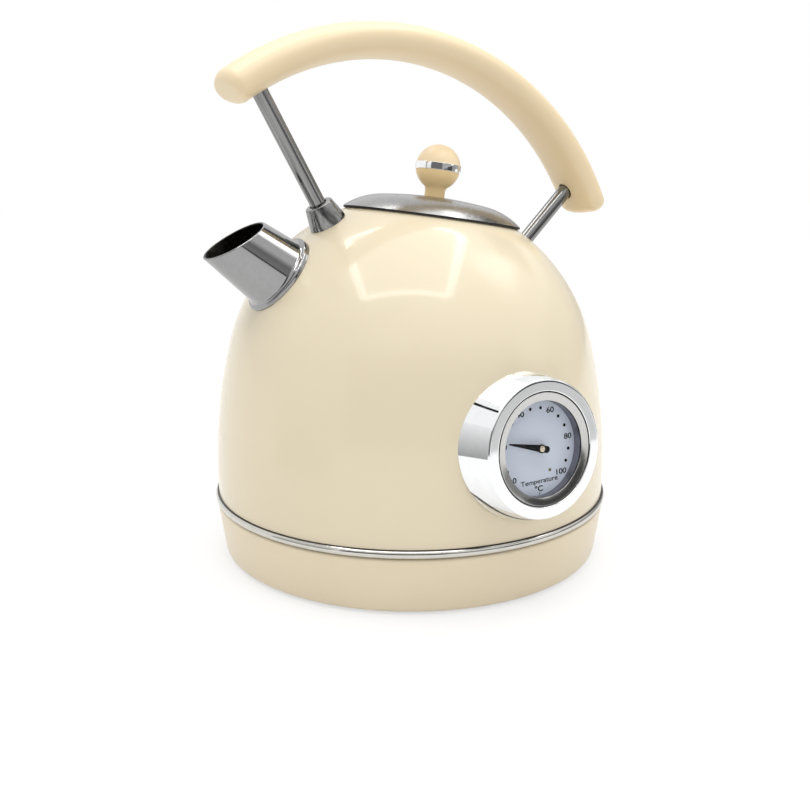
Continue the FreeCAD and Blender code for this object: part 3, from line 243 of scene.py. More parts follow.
def rounded(corners):
    """Closed outline through (r, z) or (r, z, radius) corners, with arcs at the rounded ones."""
    points = []
    for i, corner in enumerate(corners):
        spot = Vector(corner[:2])
        if len(corner) == 2:
            points.append(spot)
            continue
        back = (Vector(corners[i - 1][:2]) - spot).normalized()
        ahead = (Vector(corners[(i + 1) % len(corners)][:2]) - spot).normalized()
        half = back.angle(ahead) / 2
        centre = spot + (back + ahead).normalized() * (corner[2] / math.sin(half))
        first = spot + back * (corner[2] / math.tan(half)) - centre
        last = spot + ahead * (corner[2] / math.tan(half)) - centre
        begin = math.atan2(first.y, first.x)
        sweep = math.remainder(math.atan2(last.y, last.x) - begin, math.tau)
        points += arc(centre, corner[2], begin, begin + sweep, EDGE_STEPS)
    return points


def soft_bend(start, bend, end):
    """Points of a soft bend between two points, without its ends."""
    first, middle, last = Vector(start), Vector(bend), Vector(end)
    shares = [i / EDGE_STEPS for i in range(1, EDGE_STEPS)]
    return [first * (1 - t) ** 2 + middle * 2 * t * (1 - t) + last * t ** 2 for t in shares]


def sphere_height(radius, aside):
    """Height of a sphere's face above its centre, at a distance aside from its axis."""
    return math.sqrt(radius ** 2 - aside ** 2)


# Dome's outline: a sphere above, a slow arc below that meets it smoothly

FLANK_BACK = FLANK_R - CROWN_R
SKIRT_REACH = math.hypot(SKIRT_R, CROWN_RISE)
MEET_SHARE = (FLANK_R ** 2 - SKIRT_REACH ** 2 - FLANK_BACK ** 2) / (2 * FLANK_BACK)
MEET_ANGLE = math.acos(MEET_SHARE / SKIRT_REACH) - math.atan2(CROWN_RISE, SKIRT_R)
FLANK_X = -FLANK_BACK * math.cos(MEET_ANGLE)
FLANK_Z = CROWN_Z - FLANK_BACK * math.sin(MEET_ANGLE)


def wall_r(z):
    """Radius of the dome's outer face at a height."""
    if z > CROWN_Z + CROWN_R * math.sin(MEET_ANGLE):
        return math.sqrt(max(0.0, CROWN_R ** 2 - (z - CROWN_Z) ** 2))
    return FLANK_X + math.sqrt(FLANK_R ** 2 - (z - FLANK_Z) ** 2)


def dome_line(inset):
    """From the lower edge up to the top of the dome."""
    flank = FLANK_R - inset
    low = math.asin((SKIRT_Z - FLANK_Z) / flank)
    lower = arc((FLANK_X, FLANK_Z), flank, low, MEET_ANGLE, FLANK_STEPS)
    upper = arc((0, CROWN_Z), CROWN_R - inset, MEET_ANGLE, math.pi / 2, CROWN_STEPS)
    return lower + upper[1:]


# Places: shapes are made on the Z axis and then put where they belong

def spanned(half_width):
    """Degrees round the sphere from the middle of a fitting to its edge."""
    return math.degrees(math.asin(half_width / CROWN_R))


def stepped(length):
    """Degrees round the sphere for a length along its face."""
    return math.degrees(length / CROWN_R)


FRONT_LEAN = LID_TILT - spanned(LID_R) - stepped(LID_TO_FRONT_POST) - spanned(FERRULE_BASE_R)
SPOUT_LEAN = FRONT_LEAN - spanned(FERRULE_BASE_R) - stepped(POST_TO_SPOUT) - spanned(SPOUT_FLANGE_R)
REAR_LEAN = LID_TILT + spanned(LID_R) + stepped(LID_TO_REAR_POST) + spanned(COLLAR_BASE_R)
GAUGE_WALL_R = wall_r(GAUGE_Z)
GAUGE_PITCH = math.degrees(math.atan2(GAUGE_Z - FLANK_Z, GAUGE_WALL_R - FLANK_X))
HANDLE_CENTRE = Vector((-HANDLE_FORWARD, 0, CROWN_Z + HANDLE_RISE))

UPRIGHT = Matrix.Identity(4)


def leaning(lean):
    """Turned about the sphere's centre: 0 is upright, positive leans back."""
    return Matrix.Translation((0, 0, CROWN_Z)) @ Matrix.Rotation(math.radians(lean), 4, "Y")


def on_spout():
    """Leaning on the body, and hanging forward about the point where the tube leaves it."""
    to_root = Matrix.Translation((0, 0, CROWN_R))
    droop = Matrix.Rotation(math.radians(-SPOUT_DROOP), 4, "Y")
    return leaning(SPOUT_LEAN) @ to_root @ droop @ to_root.inverted()


def on_gauge():
    """Out along the thermometer's axis, with Z = 0 at the wall."""
    pitch = Matrix.Rotation(math.radians(90 - GAUGE_PITCH), 4, "X")
    turn = Matrix.Rotation(math.radians(GAUGE_TURN), 4, "Z")
    return turn @ Matrix.Translation((0, -GAUGE_WALL_R, GAUGE_Z)) @ pitch


ON_SPOUT = on_spout()
ON_GAUGE = on_gauge()


def dome_height(place, radius, angle, low, high):
    """Height along a placed axis at which the dome's face is, at a spot round that axis."""
    for _ in range(SEARCH_STEPS):
        middle = (low + high) / 2
        spot = place @ Vector((radius * math.cos(angle), radius * math.sin(angle), middle))
        if math.hypot(spot.x, spot.y) < wall_r(spot.z):
            low = middle
        else:
            high = middle
    return low


# Mesh tools

def turned(outline_at, steps=TURN_STEPS):
    """Closed mesh of an outline turned about Z, where outline_at gives the (r, z) points at an angle."""
    mesh = bmesh.new()
    rings = []
    for i in range(steps):
        angle = math.tau * i / steps
        spots = [(r * math.cos(angle), r * math.sin(angle), z) for r, z in outline_at(angle)]
        rings.append([mesh.verts.new(spot) for spot in spots])
    for i, ring in enumerate(rings):
        following = rings[(i + 1) % steps]
        for j in range(len(ring)):
            k = (j + 1) % len(ring)
            mesh.faces.new((ring[j], following[j], following[k], ring[k]))
    bmesh.ops.remove_doubles(mesh, verts=mesh.verts, dist=MERGE)
    bmesh.ops.recalc_face_normals(mesh, faces=mesh.faces)
    return mesh


def lathe(points, steps=TURN_STEPS):
    return turned(lambda angle: points, steps)


def rod(radius, low, high):
    return lathe([(0, low), (radius, low), (radius, high), (0, high)], SMALL_STEPS)


def box(x0, x1, width, z0, z1):
    """Block between two places along X and two heights, centred across."""
    mesh = bmesh.new()
    bmesh.ops.create_cube(mesh, size=1)
    size = Matrix.Diagonal((x1 - x0, width, z1 - z0, 1))
    mesh.transform(Matrix.Translation(((x0 + x1) / 2, 0, (z0 + z1) / 2)) @ size)
    return mesh


def plain_object(name, mesh, place):
    """Object in metres from a mesh in millimetres."""
    mesh.transform(Matrix.Scale(MM, 4) @ place)
    data = bpy.data.meshes.new(name)
    mesh.to_mesh(data)
    mesh.free()
    thing = bpy.data.objects.new(name, data)
    bpy.context.scene.collection.objects.link(thing)
    return thing


def smooth(data):
    data.polygons.foreach_set("use_smooth", [True] * len(data.polygons))
    data.set_sharp_from_angle(angle=math.radians(SMOOTH_ANGLE))


def carve(thing, cutters):
    """Cut (mesh, place) shapes out of an object."""
    tools = [plain_object("cutter", mesh, place) for mesh, place in cutters]
    for tool in tools:
        cut = thing.modifiers.new("cut", "BOOLEAN")
        cut.operation = "DIFFERENCE"
        cut.solver = "EXACT"
        cut.object = tool
    graph = bpy.context.evaluated_depsgraph_get()
    data = bpy.data.meshes.new_from_object(thing.evaluated_get(graph))
    thing.modifiers.clear()
    old = thing.data
    thing.data = data
    bpy.data.meshes.remove(old)
    for tool in tools:
        bpy.data.meshes.remove(tool.data)


def piece(name, mesh, place, body, materials, nodes, cutters=()):
    """Smooth piece that rides on a body and stands for CAD nodes."""
    thing = plain_object(name, mesh, place)
    for material in materials:
        thing.data.materials.append(material)
    if cutters:
        carve(thing, cutters)
    smooth(thing.data)
    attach(thing, body)
    if nodes:
        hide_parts(*nodes)
    return thing


def paint(thing, index, chosen, place=UPRIGHT):
    """Give another of a piece's materials to the faces whose middles are chosen, as seen from its place."""
    back = place.inverted()
    for face in thing.data.polygons:
        if chosen(back @ (face.center / MM)):
            face.material_index = index


def off_axis(spot):
    return math.hypot(spot.x, spot.y)


# Material tools

NOISE_LOW = 0.3         # a noise mostly stays between these
NOISE_HIGH = 0.7


def new_material(name, **sockets):
    """Principled material with constants on its own sockets."""
    material = bpy.data.materials.new(name)
    material.use_nodes = True
    tree = material.node_tree
    shader = tree.nodes["Principled BSDF"]
    for socket, value in sockets.items():
        shader.inputs[socket.replace("_", " ")].default_value = value
    return material, tree, shader


def noise(tree, scale, grain=1.0, lean=0.0):
    """Noise with a scale per metre, drawn out into grain along a leaning piece's own axis."""
    place = tree.nodes.new("ShaderNodeTexCoord")
    mapping = tree.nodes.new("ShaderNodeMapping")
    mapping.vector_type = "TEXTURE"
    mapping.inputs["Scale"].default_value = (1, 1, grain)
    mapping.inputs["Rotation"].default_value = (0, math.radians(lean), 0)
    texture = tree.nodes.new("ShaderNodeTexNoise")
    texture.inputs["Scale"].default_value = scale
    tree.links.new(place.outputs["Object"], mapping.inputs["Vector"])
    tree.links.new(mapping.outputs["Vector"], texture.inputs["Vector"])
    return texture.outputs["Fac"]


def vary(tree, value, low, high, socket):
    """Spread a noise over a range of a socket's values."""
    spread = tree.nodes.new("ShaderNodeMapRange")
    spread.inputs["From Min"].default_value = NOISE_LOW
    spread.inputs["From Max"].default_value = NOISE_HIGH
    spread.inputs["To Min"].default_value = low
    spread.inputs["To Max"].default_value = high
    tree.links.new(value, spread.inputs["Value"])
    tree.links.new(spread.outputs["Result"], socket)


def tint(tree, value, dark, light, socket):
    """Blend two colours by a noise."""
    ramp = tree.nodes.new("ShaderNodeValToRGB")
    ramp.color_ramp.elements[0].position = NOISE_LOW
    ramp.color_ramp.elements[0].color = (*dark, 1)
    ramp.color_ramp.elements[1].position = NOISE_HIGH
    ramp.color_ramp.elements[1].color = (*light, 1)
    tree.links.new(value, ramp.inputs["Fac"])
    tree.links.new(ramp.outputs["Color"], socket)


def bump(tree, shader, height, strength, distance):
    relief = tree.nodes.new("ShaderNodeBump")
    relief.inputs["Strength"].default_value = strength
    relief.inputs["Distance"].default_value = distance
    tree.links.new(height, relief.inputs["Height"])
    tree.links.new(relief.outputs["Normal"], shader.inputs["Normal"])


# Materials

def cream_paint():
    """Paint with a thin clear coat."""
    material, tree, shader = new_material("cream_paint", Coat_Weight=0.42, Coat_Roughness=0.07,
                                          Specular_IOR_Level=0.2)
    tint(tree, noise(tree, 14), (0.775, 0.68, 0.495), (0.79, 0.695, 0.51), shader.inputs["Base Color"])
    vary(tree, noise(tree, 60), 0.20, 0.26, shader.inputs["Roughness"])
    bump(tree, shader, noise(tree, 420), 0.02, 0.0004)
    return material


def cream_plastic(name, dark, light, low, high):
    """Moulded plastic with a faint grain, between two colours and two roughnesses."""
    material, tree, shader = new_material(name)
    tint(tree, noise(tree, 20), dark, light, shader.inputs["Base Color"])
    vary(tree, noise(tree, 30), low, high, shader.inputs["Roughness"])
    bump(tree, shader, noise(tree, 900), 0.02, 0.0001)
    return material


def metal(name, dark, light, low, high, scale, relief, grain=1.0, lean=0.0):
    """Steel, aluminium or brass, plain or with fine drawn streaks."""
    material, tree, shader = new_material(name, Metallic=1.0)
    streaks = noise(tree, scale, grain, lean)
    tint(tree, streaks, dark, light, shader.inputs["Base Color"])
    vary(tree, streaks, low, high, shader.inputs["Roughness"])
    bump(tree, shader, streaks, relief, 0.0001)
    return material


def tip_normal(material, direction):
    """Lean a material's faces a little further, as on a steeper flare."""
    tree = material.node_tree
    face = tree.nodes.new("ShaderNodeNewGeometry")
    tipped = tree.nodes.new("ShaderNodeVectorMath")
    tipped.inputs[1].default_value = direction
    unit = tree.nodes.new("ShaderNodeVectorMath")
    unit.operation = "NORMALIZE"
    tree.links.new(face.outputs["Normal"], tipped.inputs[0])
    tree.links.new(tipped.outputs["Vector"], unit.inputs[0])
    tree.links.new(unit.outputs["Vector"], tree.nodes["Principled BSDF"].inputs["Normal"])


def drawn_steel(name, lean):
    return metal(name, (0.18, 0.18, 0.18), (0.32, 0.32, 0.315), 0.12, 0.22, 1400, 0.04, 40.0, lean)


def chrome(name):
    return metal(name, (0.88, 0.89, 0.895), (0.91, 0.92, 0.925), 0.03, 0.06, 300, 0.01)


def moulded(name, dark, light, low, high, scale, relief, **sockets):
    """Plastic, rubber or ink with a fine moulded grain."""
    material, tree, shader = new_material(name, **sockets)
    tint(tree, noise(tree, 40), dark, light, shader.inputs["Base Color"])
    vary(tree, noise(tree, 200), low, high, shader.inputs["Roughness"])
    bump(tree, shader, noise(tree, scale), relief, 0.0003)
    return material


def clear_glass():
    material, tree, shader = new_material("clear_glass", Alpha=0.05, IOR=1.5,
                                          Base_Color=(0.02, 0.02, 0.02, 1))
    vary(tree, noise(tree, 80), 0.02, 0.05, shader.inputs["Roughness"])
    return material


CREAM_PAINT = cream_paint()
BASE_CREAM = cream_plastic("base_cream", (0.79, 0.68, 0.49), (0.80, 0.69, 0.50), 0.29, 0.31)
GRIP_CREAM = cream_plastic("grip_cream", (0.82, 0.665, 0.43), (0.83, 0.675, 0.44), 0.36, 0.40)
KNOB_CREAM = cream_plastic("knob_cream", (0.93, 0.75, 0.49), (0.94, 0.76, 0.50), 0.32, 0.36)
# lower half of the knob, a deeper amber than its cap: painted warm glow under the ball
KNOB_WARM_GLOW = cream_plastic("knob_painted_warm_glow", (0.98, 0.725, 0.36), (0.99, 0.735, 0.37), 0.32, 0.36)
STEEL = metal("polished_steel", (0.32, 0.32, 0.32), (0.34, 0.34, 0.34), 0.05, 0.08, 500, 0.01)
LID_STEEL = metal("satin_steel", (0.335, 0.335, 0.335), (0.365, 0.365, 0.365), 0.22, 0.28, 500, 0.01)
# nearly black steel: painted shade inside the spout, in the ferrules' and the bezel's bores, and on the
# trim under the body's edge
SHADE_STEEL = metal("painted_shade_steel", (0.05, 0.045, 0.04), (0.07, 0.065, 0.06), 0.30, 0.36, 300, 0.02)
FRONT_DRAWN = drawn_steel("front_drawn_steel", FRONT_LEAN)
REAR_DRAWN = drawn_steel("rear_drawn_steel", REAR_LEAN)
TRIM_STEEL = metal("trim_steel", (0.60, 0.585, 0.54), (0.64, 0.625, 0.58), 0.06, 0.10, 300, 0.01)
CHROME = chrome("chrome")
FLARED_CHROME = chrome("flared_chrome")
tip_normal(FLARED_CHROME, BEZEL_TIP * (ON_GAUGE.to_3x3() @ Vector((0, 0, 1))))
PLAIN_STEEL = metal("plain_steel", (0.50, 0.50, 0.49), (0.60, 0.60, 0.59), 0.25, 0.38, 900, 0.08, 20.0)
ALUMINIUM = metal("aluminium", (0.52, 0.505, 0.485), (0.60, 0.585, 0.565), 0.28, 0.38, 1200, 0.04)
RING_STEEL = metal("ring_steel", (0.56, 0.555, 0.54), (0.60, 0.595, 0.58), 0.10, 0.14, 1200, 0.02)
# darker and bluer than the aluminium: painted shade on the spacer's inner wall
SPACER_SHADE = metal("spacer_painted_shade", (0.27, 0.265, 0.30), (0.32, 0.315, 0.35), 0.30, 0.40, 1200, 0.04)
BRASS = metal("brass", (0.78, 0.69, 0.53), (0.84, 0.75, 0.59), 0.20, 0.30, 1500, 0.05)
BLACK = moulded("black_plastic", (0.018, 0.018, 0.019), (0.026, 0.026, 0.027), 0.38, 0.50, 3000, 0.10)
# real rubber, and also the black of the painted shade pieces behind and round the thermometer's bezel
RUBBER_AND_SHADE = moulded("soft_rubber", (0.02, 0.02, 0.02), (0.03, 0.03, 0.03), 0.60, 0.75, 1800, 0.15,
                 Specular_IOR_Level=0.3)
DIAL_WHITE = moulded("dial_white", (0.69, 0.755, 0.87), (0.71, 0.775, 0.89), 0.45, 0.55, 2400, 0.03)
INK = moulded("dial_ink", (0.008, 0.008, 0.010), (0.012, 0.012, 0.015), 0.60, 0.70, 3000, 0.05,
              Specular_IOR_Level=0.1)
OLIVE = moulded("dial_marker", (0.16, 0.15, 0.06), (0.20, 0.19, 0.08), 0.50, 0.60, 3000, 0.05)
RED = moulded("red_lens", (0.42, 0.015, 0.012), (0.52, 0.02, 0.016), 0.12, 0.20, 600, 0.03)
GLASS = clear_glass()

SLOT_MATERIALS = {
    "cream_paint": CREAM_PAINT,
    "cream_plastic": BASE_CREAM,
    "polished_steel": STEEL,
    "plain_steel": PLAIN_STEEL,
    "aluminium": ALUMINIUM,
    "brass": BRASS,
    "black_plastic": BLACK,
    "soft_rubber": RUBBER_AND_SHADE,
    "clear_glass": GLASS,
    "dial_white": DIAL_WHITE,
    "pointer_black": INK,
    "red_lens": RED,
}


def finish_cad_nodes():
    """Give every carried-over node the material of its slot."""
    for subpart in frame["record"]["subparts"]:
        data = frame["nodes"][subpart["node"]].data
        data.materials.clear()
        data.materials.append(SLOT_MATERIALS[subpart["material_slot"]])


# Base and body

def base_shell():
    deck = BASE_H - DECK_DROP
    under = deck - BASE_WALL
    outline = rounded([
        (BASE_FOOT_R, BASE_LIFT, BASE_EDGE),
        (BASE_TOP_R, BASE_H, BASE_LIP_EDGE),
        (BASE_TOP_R - LIP_W, BASE_H, DECK_DROP / 3),
        (BASE_TOP_R - LIP_W - DECK_DROP, deck, DECK_DROP / 3),
        (CONNECTOR_R, deck),
        (CONNECTOR_R, under),
        (BASE_FOOT_R - BASE_WALL, under),
        (BASE_FOOT_R - BASE_WALL, BASE_LIFT),
    ])
    hole = Matrix.Translation((BASE_FOOT_R, 0, GLAND_Z)) @ Matrix.Rotation(math.radians(90), 4, "Y")
    piece("base_shell_smooth", lathe(outline), UPRIGHT, "power_base", [BASE_CREAM],
          ["base_shell"], [(rod(GLAND_NECK_R, -2 * BASE_WALL, 4 * BASE_WALL), hole)])


def trim_ring():
    middle = TRIM_R - TRIM_BEAD
    bead = arc((middle, TRIM_LOW_Z + TRIM_BEAD), TRIM_BEAD, -math.pi / 2, math.pi / 2, BEAD_STEPS)
    outline = bead + [(middle - TRIM_DEPTH, SKIRT_Z), (middle - TRIM_DEPTH, TRIM_LOW_Z)]
    ring = piece("trim_ring_smooth", lathe(outline), UPRIGHT, "kettle",
                 [TRIM_STEEL, SHADE_STEEL], ["trim_ring"])
    # the bead's top under the body's edge gets the dark steel: painted shade
    paint(ring, 1, lambda spot: spot.z > SKIRT_Z - TRIM_SHADE * TRIM_BEAD)


def body_shell():
    """Painted outside and bare steel inside, open where the fittings go through."""
    outline = dome_line(0) + dome_line(SHELL_WALL)[::-1]
    low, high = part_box("switch_housing")
    slot_w = (high.y - low.y) / MM - 2 * HOUSING_LIP
    slot = box(low.x / MM, 2 * SKIRT_R, slot_w, low.z / MM + HOUSING_LIP, high.z / MM - HOUSING_LIP)
    cutters = [
        (rod(MOUTH_R, *THROUGH), leaning(LID_TILT)),
        (rod(SPOUT_BASE_R - SPOUT_WALL, *THROUGH), ON_SPOUT),
        (rod(POST_R, *THROUGH), leaning(FRONT_LEAN)),
        (rod(POST_R, *THROUGH), leaning(REAR_LEAN)),
        (rod(BEZEL_BORE_R / 3, -BEZEL_DEPTH, BEZEL_DEPTH), ON_GAUGE),
        (slot, UPRIGHT),
    ]
    shell = piece("body_shell_smooth", lathe(outline), UPRIGHT, "kettle",
                  [CREAM_PAINT, PLAIN_STEEL], ["body_shell"], cutters)
    top = CROWN_Z + CROWN_R - SHELL_WALL / 2
    paint(shell, 1, lambda spot: spot.z < top and off_axis(spot) < wall_r(spot.z) - SHELL_WALL / 2)
    neck_top = sphere_height(CROWN_R - SHELL_WALL, MOUTH_R)
    neck = [(MOUTH_R, neck_top - NECK_DEPTH), (MOUTH_R + SHELL_WALL, neck_top - NECK_DEPTH),
            (MOUTH_R + SHELL_WALL, neck_top), (MOUTH_R, neck_top + SHELL_WALL)]
    piece("mouth_neck", lathe(neck), leaning(LID_TILT), "kettle", [PLAIN_STEEL], [])


# Spout

def spout_r(height):
    return SPOUT_BASE_R + (SPOUT_TIP_R - SPOUT_BASE_R) * (height - CROWN_R) / SPOUT_L


def spout_top(angle, inset):
    """Height of the slanted mouth over the tube's outer face, or a face inside it."""
    slant = math.cos(angle) * math.tan(math.radians(SPOUT_CUT))
    taper = (SPOUT_BASE_R - SPOUT_TIP_R) / SPOUT_L
    return CROWN_R + (SPOUT_L - (SPOUT_BASE_R - inset) * slant) / (1 - taper * slant)


def spout_outline(angle):
    root = sphere_height(CROWN_R, SPOUT_BASE_R) + SPOUT_FLANGE_T
    edge = sphere_height(CROWN_R, SPOUT_FLANGE_R) + SPOUT_FLANGE_T
    bore = SPOUT_BASE_R - SPOUT_WALL
    outer_top = spout_top(angle, 0)
    inner_top = spout_top(angle, SPOUT_WALL)
    corners = [
        (bore, dome_height(ON_SPOUT, bore, angle, *THROUGH)),
        (SPOUT_FLANGE_R, dome_height(ON_SPOUT, SPOUT_FLANGE_R, angle, *THROUGH)),
        (SPOUT_FLANGE_R, edge, EDGE_SHARE * SPOUT_FLANGE_T),
        (spout_r(root), root, SPOUT_ROOT),
        (spout_r(outer_top), outer_top, SPOUT_RIM_ROUND),
        (spout_r(inner_top) - SPOUT_WALL, inner_top, SPOUT_RIM_ROUND),
    ]
    return rounded(corners)


def spout():
    """Bright outside and round the mouth, and nearly black inside: painted shade in the tube."""
    tube = piece("spout_smooth", turned(spout_outline, SMALL_STEPS), ON_SPOUT, "kettle",
                 [STEEL, SHADE_STEEL], ["spout"])
    paint(tube, 1, lambda spot: off_axis(spot) < spout_r(spot.z) - SPOUT_WALL / 2, ON_SPOUT)


# Handle and posts

def post_length(lean):
    """From the sphere's centre along a post to the handle's middle line."""
    along = Vector((math.sin(math.radians(lean)), 0, math.cos(math.radians(lean))))
    offset = HANDLE_CENTRE - Vector((0, 0, CROWN_Z))
    near = along.dot(offset)
    return near + math.sqrt(near ** 2 - offset.dot(offset) + HANDLE_R ** 2)


def handle_angle(lean):
    """Where a post meets the handle's middle line, as an angle from upright about the arch's centre."""
    spot = leaning(lean) @ Vector((0, 0, post_length(lean))) - HANDLE_CENTRE
    return math.atan2(spot.x, spot.z)


def oval(inset):
    """Section of the handle, wide along Y, of four smooth arcs drawn in by an inset."""
    half_width = HANDLE_W / 2
    half_height = HANDLE_T / 2
    offset = half_width - HANDLE_SIDE_R
    top_r = (offset ** 2 + half_height ** 2 - HANDLE_SIDE_R ** 2) / (2 * (half_height - HANDLE_SIDE_R))
    drop = top_r - half_height
    join = math.atan2(drop, offset)
    points = arc((offset, 0), HANDLE_SIDE_R - inset, -join, join, OVAL_STEPS)
    points += arc((0, -drop), top_r - inset, join, math.pi - join, OVAL_STEPS)[1:]
    points += arc((-offset, 0), HANDLE_SIDE_R - inset, math.pi - join, math.pi + join, OVAL_STEPS)[1:]
    points += arc((0, drop), top_r - inset, math.pi + join, math.tau - join, OVAL_STEPS)[1:-1]
    return points


def handle_stations():
    """Angles along the arch with the section's inset at each, which rounds the two ends."""
    front = handle_angle(FRONT_LEAN) - HANDLE_FRONT_OVERHANG / HANDLE_R
    rear = handle_angle(REAR_LEAN) + HANDLE_REAR_OVERHANG / HANDLE_R
    end = HANDLE_END_R / HANDLE_R
    turns = [math.pi / 2 * (1 - step / EDGE_STEPS) for step in range(EDGE_STEPS + 1)]
    near_end = [(front + end * (1 - math.sin(turn)), HANDLE_END_R * (1 - math.cos(turn))) for turn in turns]
    span = rear - front - 2 * end
    middle = [(front + end + span * i / ARCH_STEPS, 0.0) for i in range(1, ARCH_STEPS)]
    far_end = [(rear + front - angle, inset) for angle, inset in reversed(near_end)]
    return near_end + middle + far_end


def handle_grip():
    """Oval section swept round the arch, with rounded ends."""
    mesh = bmesh.new()
    rings = []
    for angle, inset in handle_stations():
        turn = Matrix.Rotation(angle, 4, "Y")
        ring = [HANDLE_CENTRE + turn @ Vector((0, y, HANDLE_R + z)) for y, z in oval(inset)]
        rings.append([mesh.verts.new(spot) for spot in ring])
    for near, far in zip(rings, rings[1:]):
        for j in range(len(near)):
            k = (j + 1) % len(near)
            mesh.faces.new((near[j], near[k], far[k], far[j]))
    mesh.faces.new(rings[0])
    mesh.faces.new(rings[-1])
    bmesh.ops.recalc_face_normals(mesh, faces=mesh.faces)
    holes = []
    for lean in (FRONT_LEAN, REAR_LEAN):
        top = post_length(lean)
        holes.append((rod(SLEEVE_R, top - HANDLE_T, top - HANDLE_T / 4), leaning(lean)))
    piece("handle_grip_smooth", mesh, UPRIGHT, "kettle", [GRIP_CREAM],
          ["handle_grip"], holes)


def post(name, lean, material):
    piece(name + "_smooth", rod(POST_R, CROWN_R - POST_TAIL, post_length(lean)), leaning(lean), "kettle",
          [material], [name])


def ferrule(name, lean, material, base_r, top_r, height):
    seat = sphere_height(CROWN_R, base_r)
    outline = rounded([
        (SLEEVE_R, sphere_height(CROWN_R, SLEEVE_R)),
        (base_r, seat),
        (base_r, seat + FERRULE_EDGE),
        (top_r, CROWN_R + height, EDGE_SHARE * (top_r - SLEEVE_R)),
        (SLEEVE_R, CROWN_R + height),
        (SLEEVE_R, CROWN_R + height / 2),
        (POST_R, CROWN_R + height / 2),
        (POST_R, CROWN_R),
    ])
    cone = piece(name + "_smooth", lathe(outline, SMALL_STEPS), leaning(lean), "kettle",
                 [material, SHADE_STEEL], [name])
    # the bore between the post and the ferrule gets the dark steel: painted shade in the gap
    paint(cone, 1, lambda spot: off_axis(spot) < SLEEVE_R + FERRULE_EDGE / 8, leaning(lean))


# Lid and knob

LID_EDGE_H = sphere_height(CROWN_R + LID_GAP, LID_R - LID_WALL)
LID_TOP_H = LID_EDGE_H + LID_RISE
KNOB_H = LID_TOP_H + KNOB_STEM_L + sphere_height(KNOB_R, KNOB_STEM_R)
KNOB_BAND_LOW = KNOB_H - KNOB_BAND_H / 2
KNOB_BAND_TOP = KNOB_H + KNOB_BAND_H / 2
KNOB_BAND_ANGLE = math.asin(KNOB_BAND_H / 2 / KNOB_R)
LID_CAP_R = (LID_R ** 2 + LID_RISE ** 2) / (2 * LID_RISE)
LID_CROWN_R = LID_FLATNESS * LID_CAP_R
LID_SHOULDER_R = LID_SHOULDER * LID_CAP_R


def lid_line(inset):
    """From the edge over the tighter shoulder and the flat crown to the axis."""
    apart = LID_CROWN_R - LID_SHOULDER_R
    drop = LID_CROWN_R - LID_RISE
    reach = math.hypot(LID_R, drop)
    spread = math.acos((reach ** 2 + apart ** 2 - LID_SHOULDER_R ** 2) / (2 * reach * apart))
    meet = math.pi / 2 - math.atan2(LID_R, drop) + spread
    crown = Vector((0, LID_TOP_H - LID_CROWN_R))
    shoulder = crown + apart * Vector((math.cos(meet), math.sin(meet)))
    low = math.asin((LID_EDGE_H - shoulder.y) / (LID_SHOULDER_R - inset))
    edge = arc(shoulder, LID_SHOULDER_R - inset, low, meet, CAP_STEPS)
    return edge + arc(crown, LID_CROWN_R - inset, meet, math.pi / 2, CAP_STEPS)[1:]


def lid_cap():
    outline = lid_line(0) + lid_line(LID_WALL)[::-1]
    piece("lid_cap_smooth", lathe(outline), leaning(LID_TILT), "lid", [LID_STEEL],
          ["lid_cap"])


def knob_base_outline():
    """Stem with a soft neck, and the ball's lower part up to the band."""
    foot_h = LID_TOP_H - LID_WALL / 4
    neck_h = LID_TOP_H + KNOB_STEM_L - KNOB_NECK_ROUND
    neck_angle = math.asin(KNOB_STEM_R / KNOB_R) - math.pi / 2
    ball = arc((0, KNOB_H), KNOB_R, neck_angle, -KNOB_BAND_ANGLE, CAP_STEPS)
    clear = [spot for spot in ball if spot.x > KNOB_STEM_R + KNOB_NECK_ROUND / 2]
    neck = (KNOB_STEM_R, neck_h)
    stem = [(0, foot_h), (KNOB_STEM_R, foot_h), neck]
    return stem + soft_bend(neck, ball[0], clear[0]) + clear + [(0, KNOB_BAND_LOW)]


def knob_band_outline():
    radius = KNOB_R + KNOB_BAND_PROUD
    return rounded([
        (0, KNOB_BAND_LOW),
        (radius, KNOB_BAND_LOW, KNOB_BAND_PROUD),
        (radius, KNOB_BAND_TOP, KNOB_BAND_PROUD),
        (0, KNOB_BAND_TOP),
    ])


def knob_cap_outline():
    return [(0, KNOB_BAND_TOP)] + arc((0, KNOB_H), KNOB_R, KNOB_BAND_ANGLE, math.pi / 2, CAP_STEPS)


def knob_piece(name, outline, material):
    piece(name + "_smooth", lathe(outline, SMALL_STEPS), leaning(LID_TILT), "lid", [material], [name])


def knob():
    # the lower half is painted warm glow, deeper than the cap
    knob_piece("knob_base", knob_base_outline(), KNOB_WARM_GLOW)
    knob_piece("knob_cap", knob_cap_outline(), KNOB_CREAM)
    knob_piece("knob_band", knob_band_outline(), CHROME)


# Thermometer

def bezel_back(angle):
    """Radius and distance out at which the flared side meets the dome."""
    back_r = BEZEL_R + BEZEL_FLARE
    for _ in range(SETTLE_STEPS):
        back_w = dome_height(ON_GAUGE, back_r, angle, -BEZEL_DEPTH, BEZEL_DEPTH)
        back_r = BEZEL_R + BEZEL_FLARE * (1 - back_w / BEZEL_DEPTH)
    return back_r, back_w


